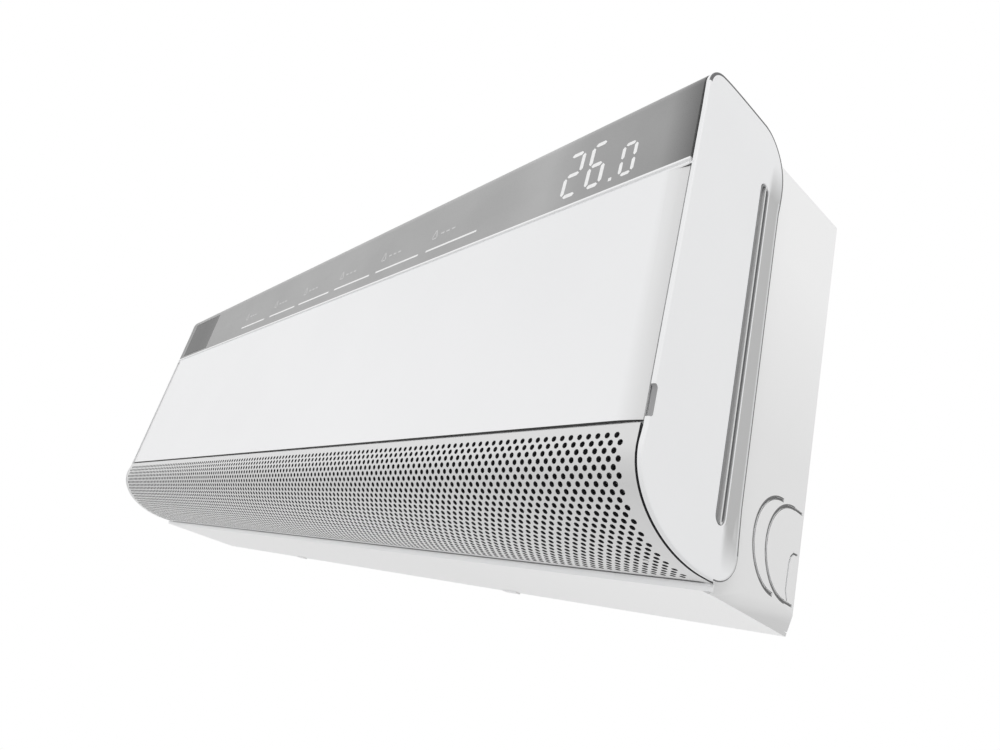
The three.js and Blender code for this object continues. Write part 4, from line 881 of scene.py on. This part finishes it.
def segment(x0, z0, x1, z1, width):
    """A lit bar with pointed ends between two corners of a digit."""
    a, b = Vector((x0, z0)), Vector((x1, z1))
    along = (b - a).normalized()
    across = Vector((-along.y, along.x)) * width / 2
    a, b = a + along * width * 0.35, b - along * width * 0.35
    tip = along * width / 2
    return [tuple(p) for p in (
        a, a + tip - across, b - tip - across, b, b - tip + across, a + tip + across)]


DIGITS = {"2": "abged", "6": "afgedc", "0": "abcdef"}


def digit(character, left, right, bottom, top, width):
    middle = (bottom + top) / 2
    bars = {
        "a": (left, top, right, top), "b": (right, top, right, middle),
        "c": (right, middle, right, bottom), "d": (left, bottom, right, bottom),
        "e": (left, middle, left, bottom), "f": (left, top, left, middle),
        "g": (left, middle, right, middle),
    }
    return [segment(*bars[bar], width) for bar in DIGITS[character]]


def display():
    lit = Shader("lit_mark")
    lit.set(Base_Color=lit.blend(lit.span(lit.noise(500), 0, 1), grey(0.80), grey(0.72)))
    lit.set(Roughness=0.5, Emission_Color=(1, 1, 1, 1), Emission_Strength=0.06)
    faint = Shader("faint_mark")
    faint.set(Base_Color=faint.blend(faint.span(faint.noise(500), 0, 1), grey(0.55), grey(0.5)))
    faint.set(Roughness=0.5)
    number = (
        digit("2", 366.5, 380.5, DIGIT_LOW, DIGIT_HIGH, DIGIT_WIDTH)
        + digit("6", 390, 402.8, DIGIT_LOW, DIGIT_HIGH, DIGIT_WIDTH)
        + digit("0", 421, 431.5, 250, 276, 2.9)
        + [[(411.6, 248.8), (414.4, 248.8), (414.4, 251.6), (411.6, 251.6)]])
    plates("display_number", number, lit.material)
    lines, icons = [], []
    spans = [(-237.1, -163), (-146, -75.6), (-64.7, 8.9), (22, 94.9), (107.4, 181.4),
             (193.9, 267.2)]
    for left, right in spans:
        lines.append([(left, LINE_LOW), (right, LINE_LOW), (right, LINE_HIGH), (left, LINE_HIGH)])
        icons += mode_mark(left + MARK_INDENT, MARK_Z)
    plates("mode_lines", lines, lit.material)
    plates("mode_marks", icons, faint.material)


def mode_mark(x, z):
    """A plain drop outline with three short bars beside it."""
    drop = [segment(x - 4, z, x, z + 10, 1.4), segment(x, z + 10, x + 4, z, 1.4),
            segment(x - 4, z, x + 4, z, 1.4)]
    bars = [[(x + 9 + 8 * i, z + 2), (x + 14 + 8 * i, z + 2), (x + 14 + 8 * i, z + 4),
             (x + 9 + 8 * i, z + 4)] for i in range(3)]
    return drop + bars


# --------------------------------------------------------------- camera, light
def camera():
    data = bpy.data.cameras.new("camera")
    data.sensor_width = 36.0
    data.lens = 25.526111
    data.clip_start, data.clip_end = 0.01, 50
    viewer = bpy.data.objects.new("camera", data)
    bpy.context.scene.collection.objects.link(viewer)
    right = Vector((0.66359246, 0.69584393, 0.27467486))
    up = Vector((0.11513506, -0.45778822, 0.88157465))
    back = Vector((0.73918128, -0.55338158, -0.38390084))
    turned = Matrix((right, up, back)).transposed().to_4x4()
    viewer.matrix_world = Matrix.Translation((0.709739, -0.465286, -0.243314)) @ turned
    bpy.context.scene.camera = viewer


def area_light(name, location, target, size, power):
    data = bpy.data.lights.new(name, "AREA")
    data.shape, data.size, data.energy = "DISK", size, power
    lamp = bpy.data.objects.new(name, data)
    bpy.context.scene.collection.objects.link(lamp)
    lamp.location = location
    aim = Vector(target) - Vector(location)
    lamp.rotation_euler = aim.to_track_quat("-Z", "Y").to_euler()


def surroundings():
    """White studio: white to the camera and in reflections, softer as light."""
    world = bpy.data.worlds.new("studio")
    bpy.context.scene.world = world
    world.use_nodes = True
    tree = world.node_tree
    background = tree.nodes["Background"]
    rays = tree.nodes.new("ShaderNodeLightPath")
    seen = rays.outputs["Is Camera Ray"]
    for name in ("Is Glossy Ray", "Is Transmission Ray"):
        either = tree.nodes.new("ShaderNodeMath")
        either.operation = "MAXIMUM"
        tree.links.new(seen, either.inputs[0])
        tree.links.new(rays.outputs[name], either.inputs[1])
        seen = either.outputs[0]
    strength = tree.nodes.new("ShaderNodeMapRange")
    tree.links.new(seen, strength.inputs["Value"])
    strength.inputs["To Min"].default_value = 0.86
    strength.inputs["To Max"].default_value = 1.0
    tree.links.new(strength.outputs[0], background.inputs["Strength"])
    background.inputs["Color"].default_value = (1, 1, 1, 1)

    area_light("key", (1.6, -1.6, 1.6), (0, 0, 0), 1.6, 14)
    area_light("fill", (-1.8, -2.0, 0.3), (0, 0, 0), 1.8, 6)

    mesh = bpy.data.meshes.new("floor")
    corners = [(-2, -2, -1.6), (2, -2, -1.6), (2, 2, -1.6), (-2, 2, -1.6)]
    mesh.from_pydata(corners, [], [(0, 1, 2, 3)])
    pale = Shader("pale_floor")
    pale.set(Base_Color=pale.blend(pale.span(pale.noise(3), 0, 1), grey(0.82), grey(0.8)))
    pale.set(Roughness=0.9)
    mesh.materials.append(pale.material)
    floor = bpy.data.objects.new("floor", mesh)
    bpy.context.scene.collection.objects.link(floor)


bpy.context.scene.view_settings.view_transform = "Standard"
dress_frame()
flap()
side_plate("side_plate_right", 1)
side_plate("side_plate_left", -1)
trim()
sill()
display()
camera()
surroundings()
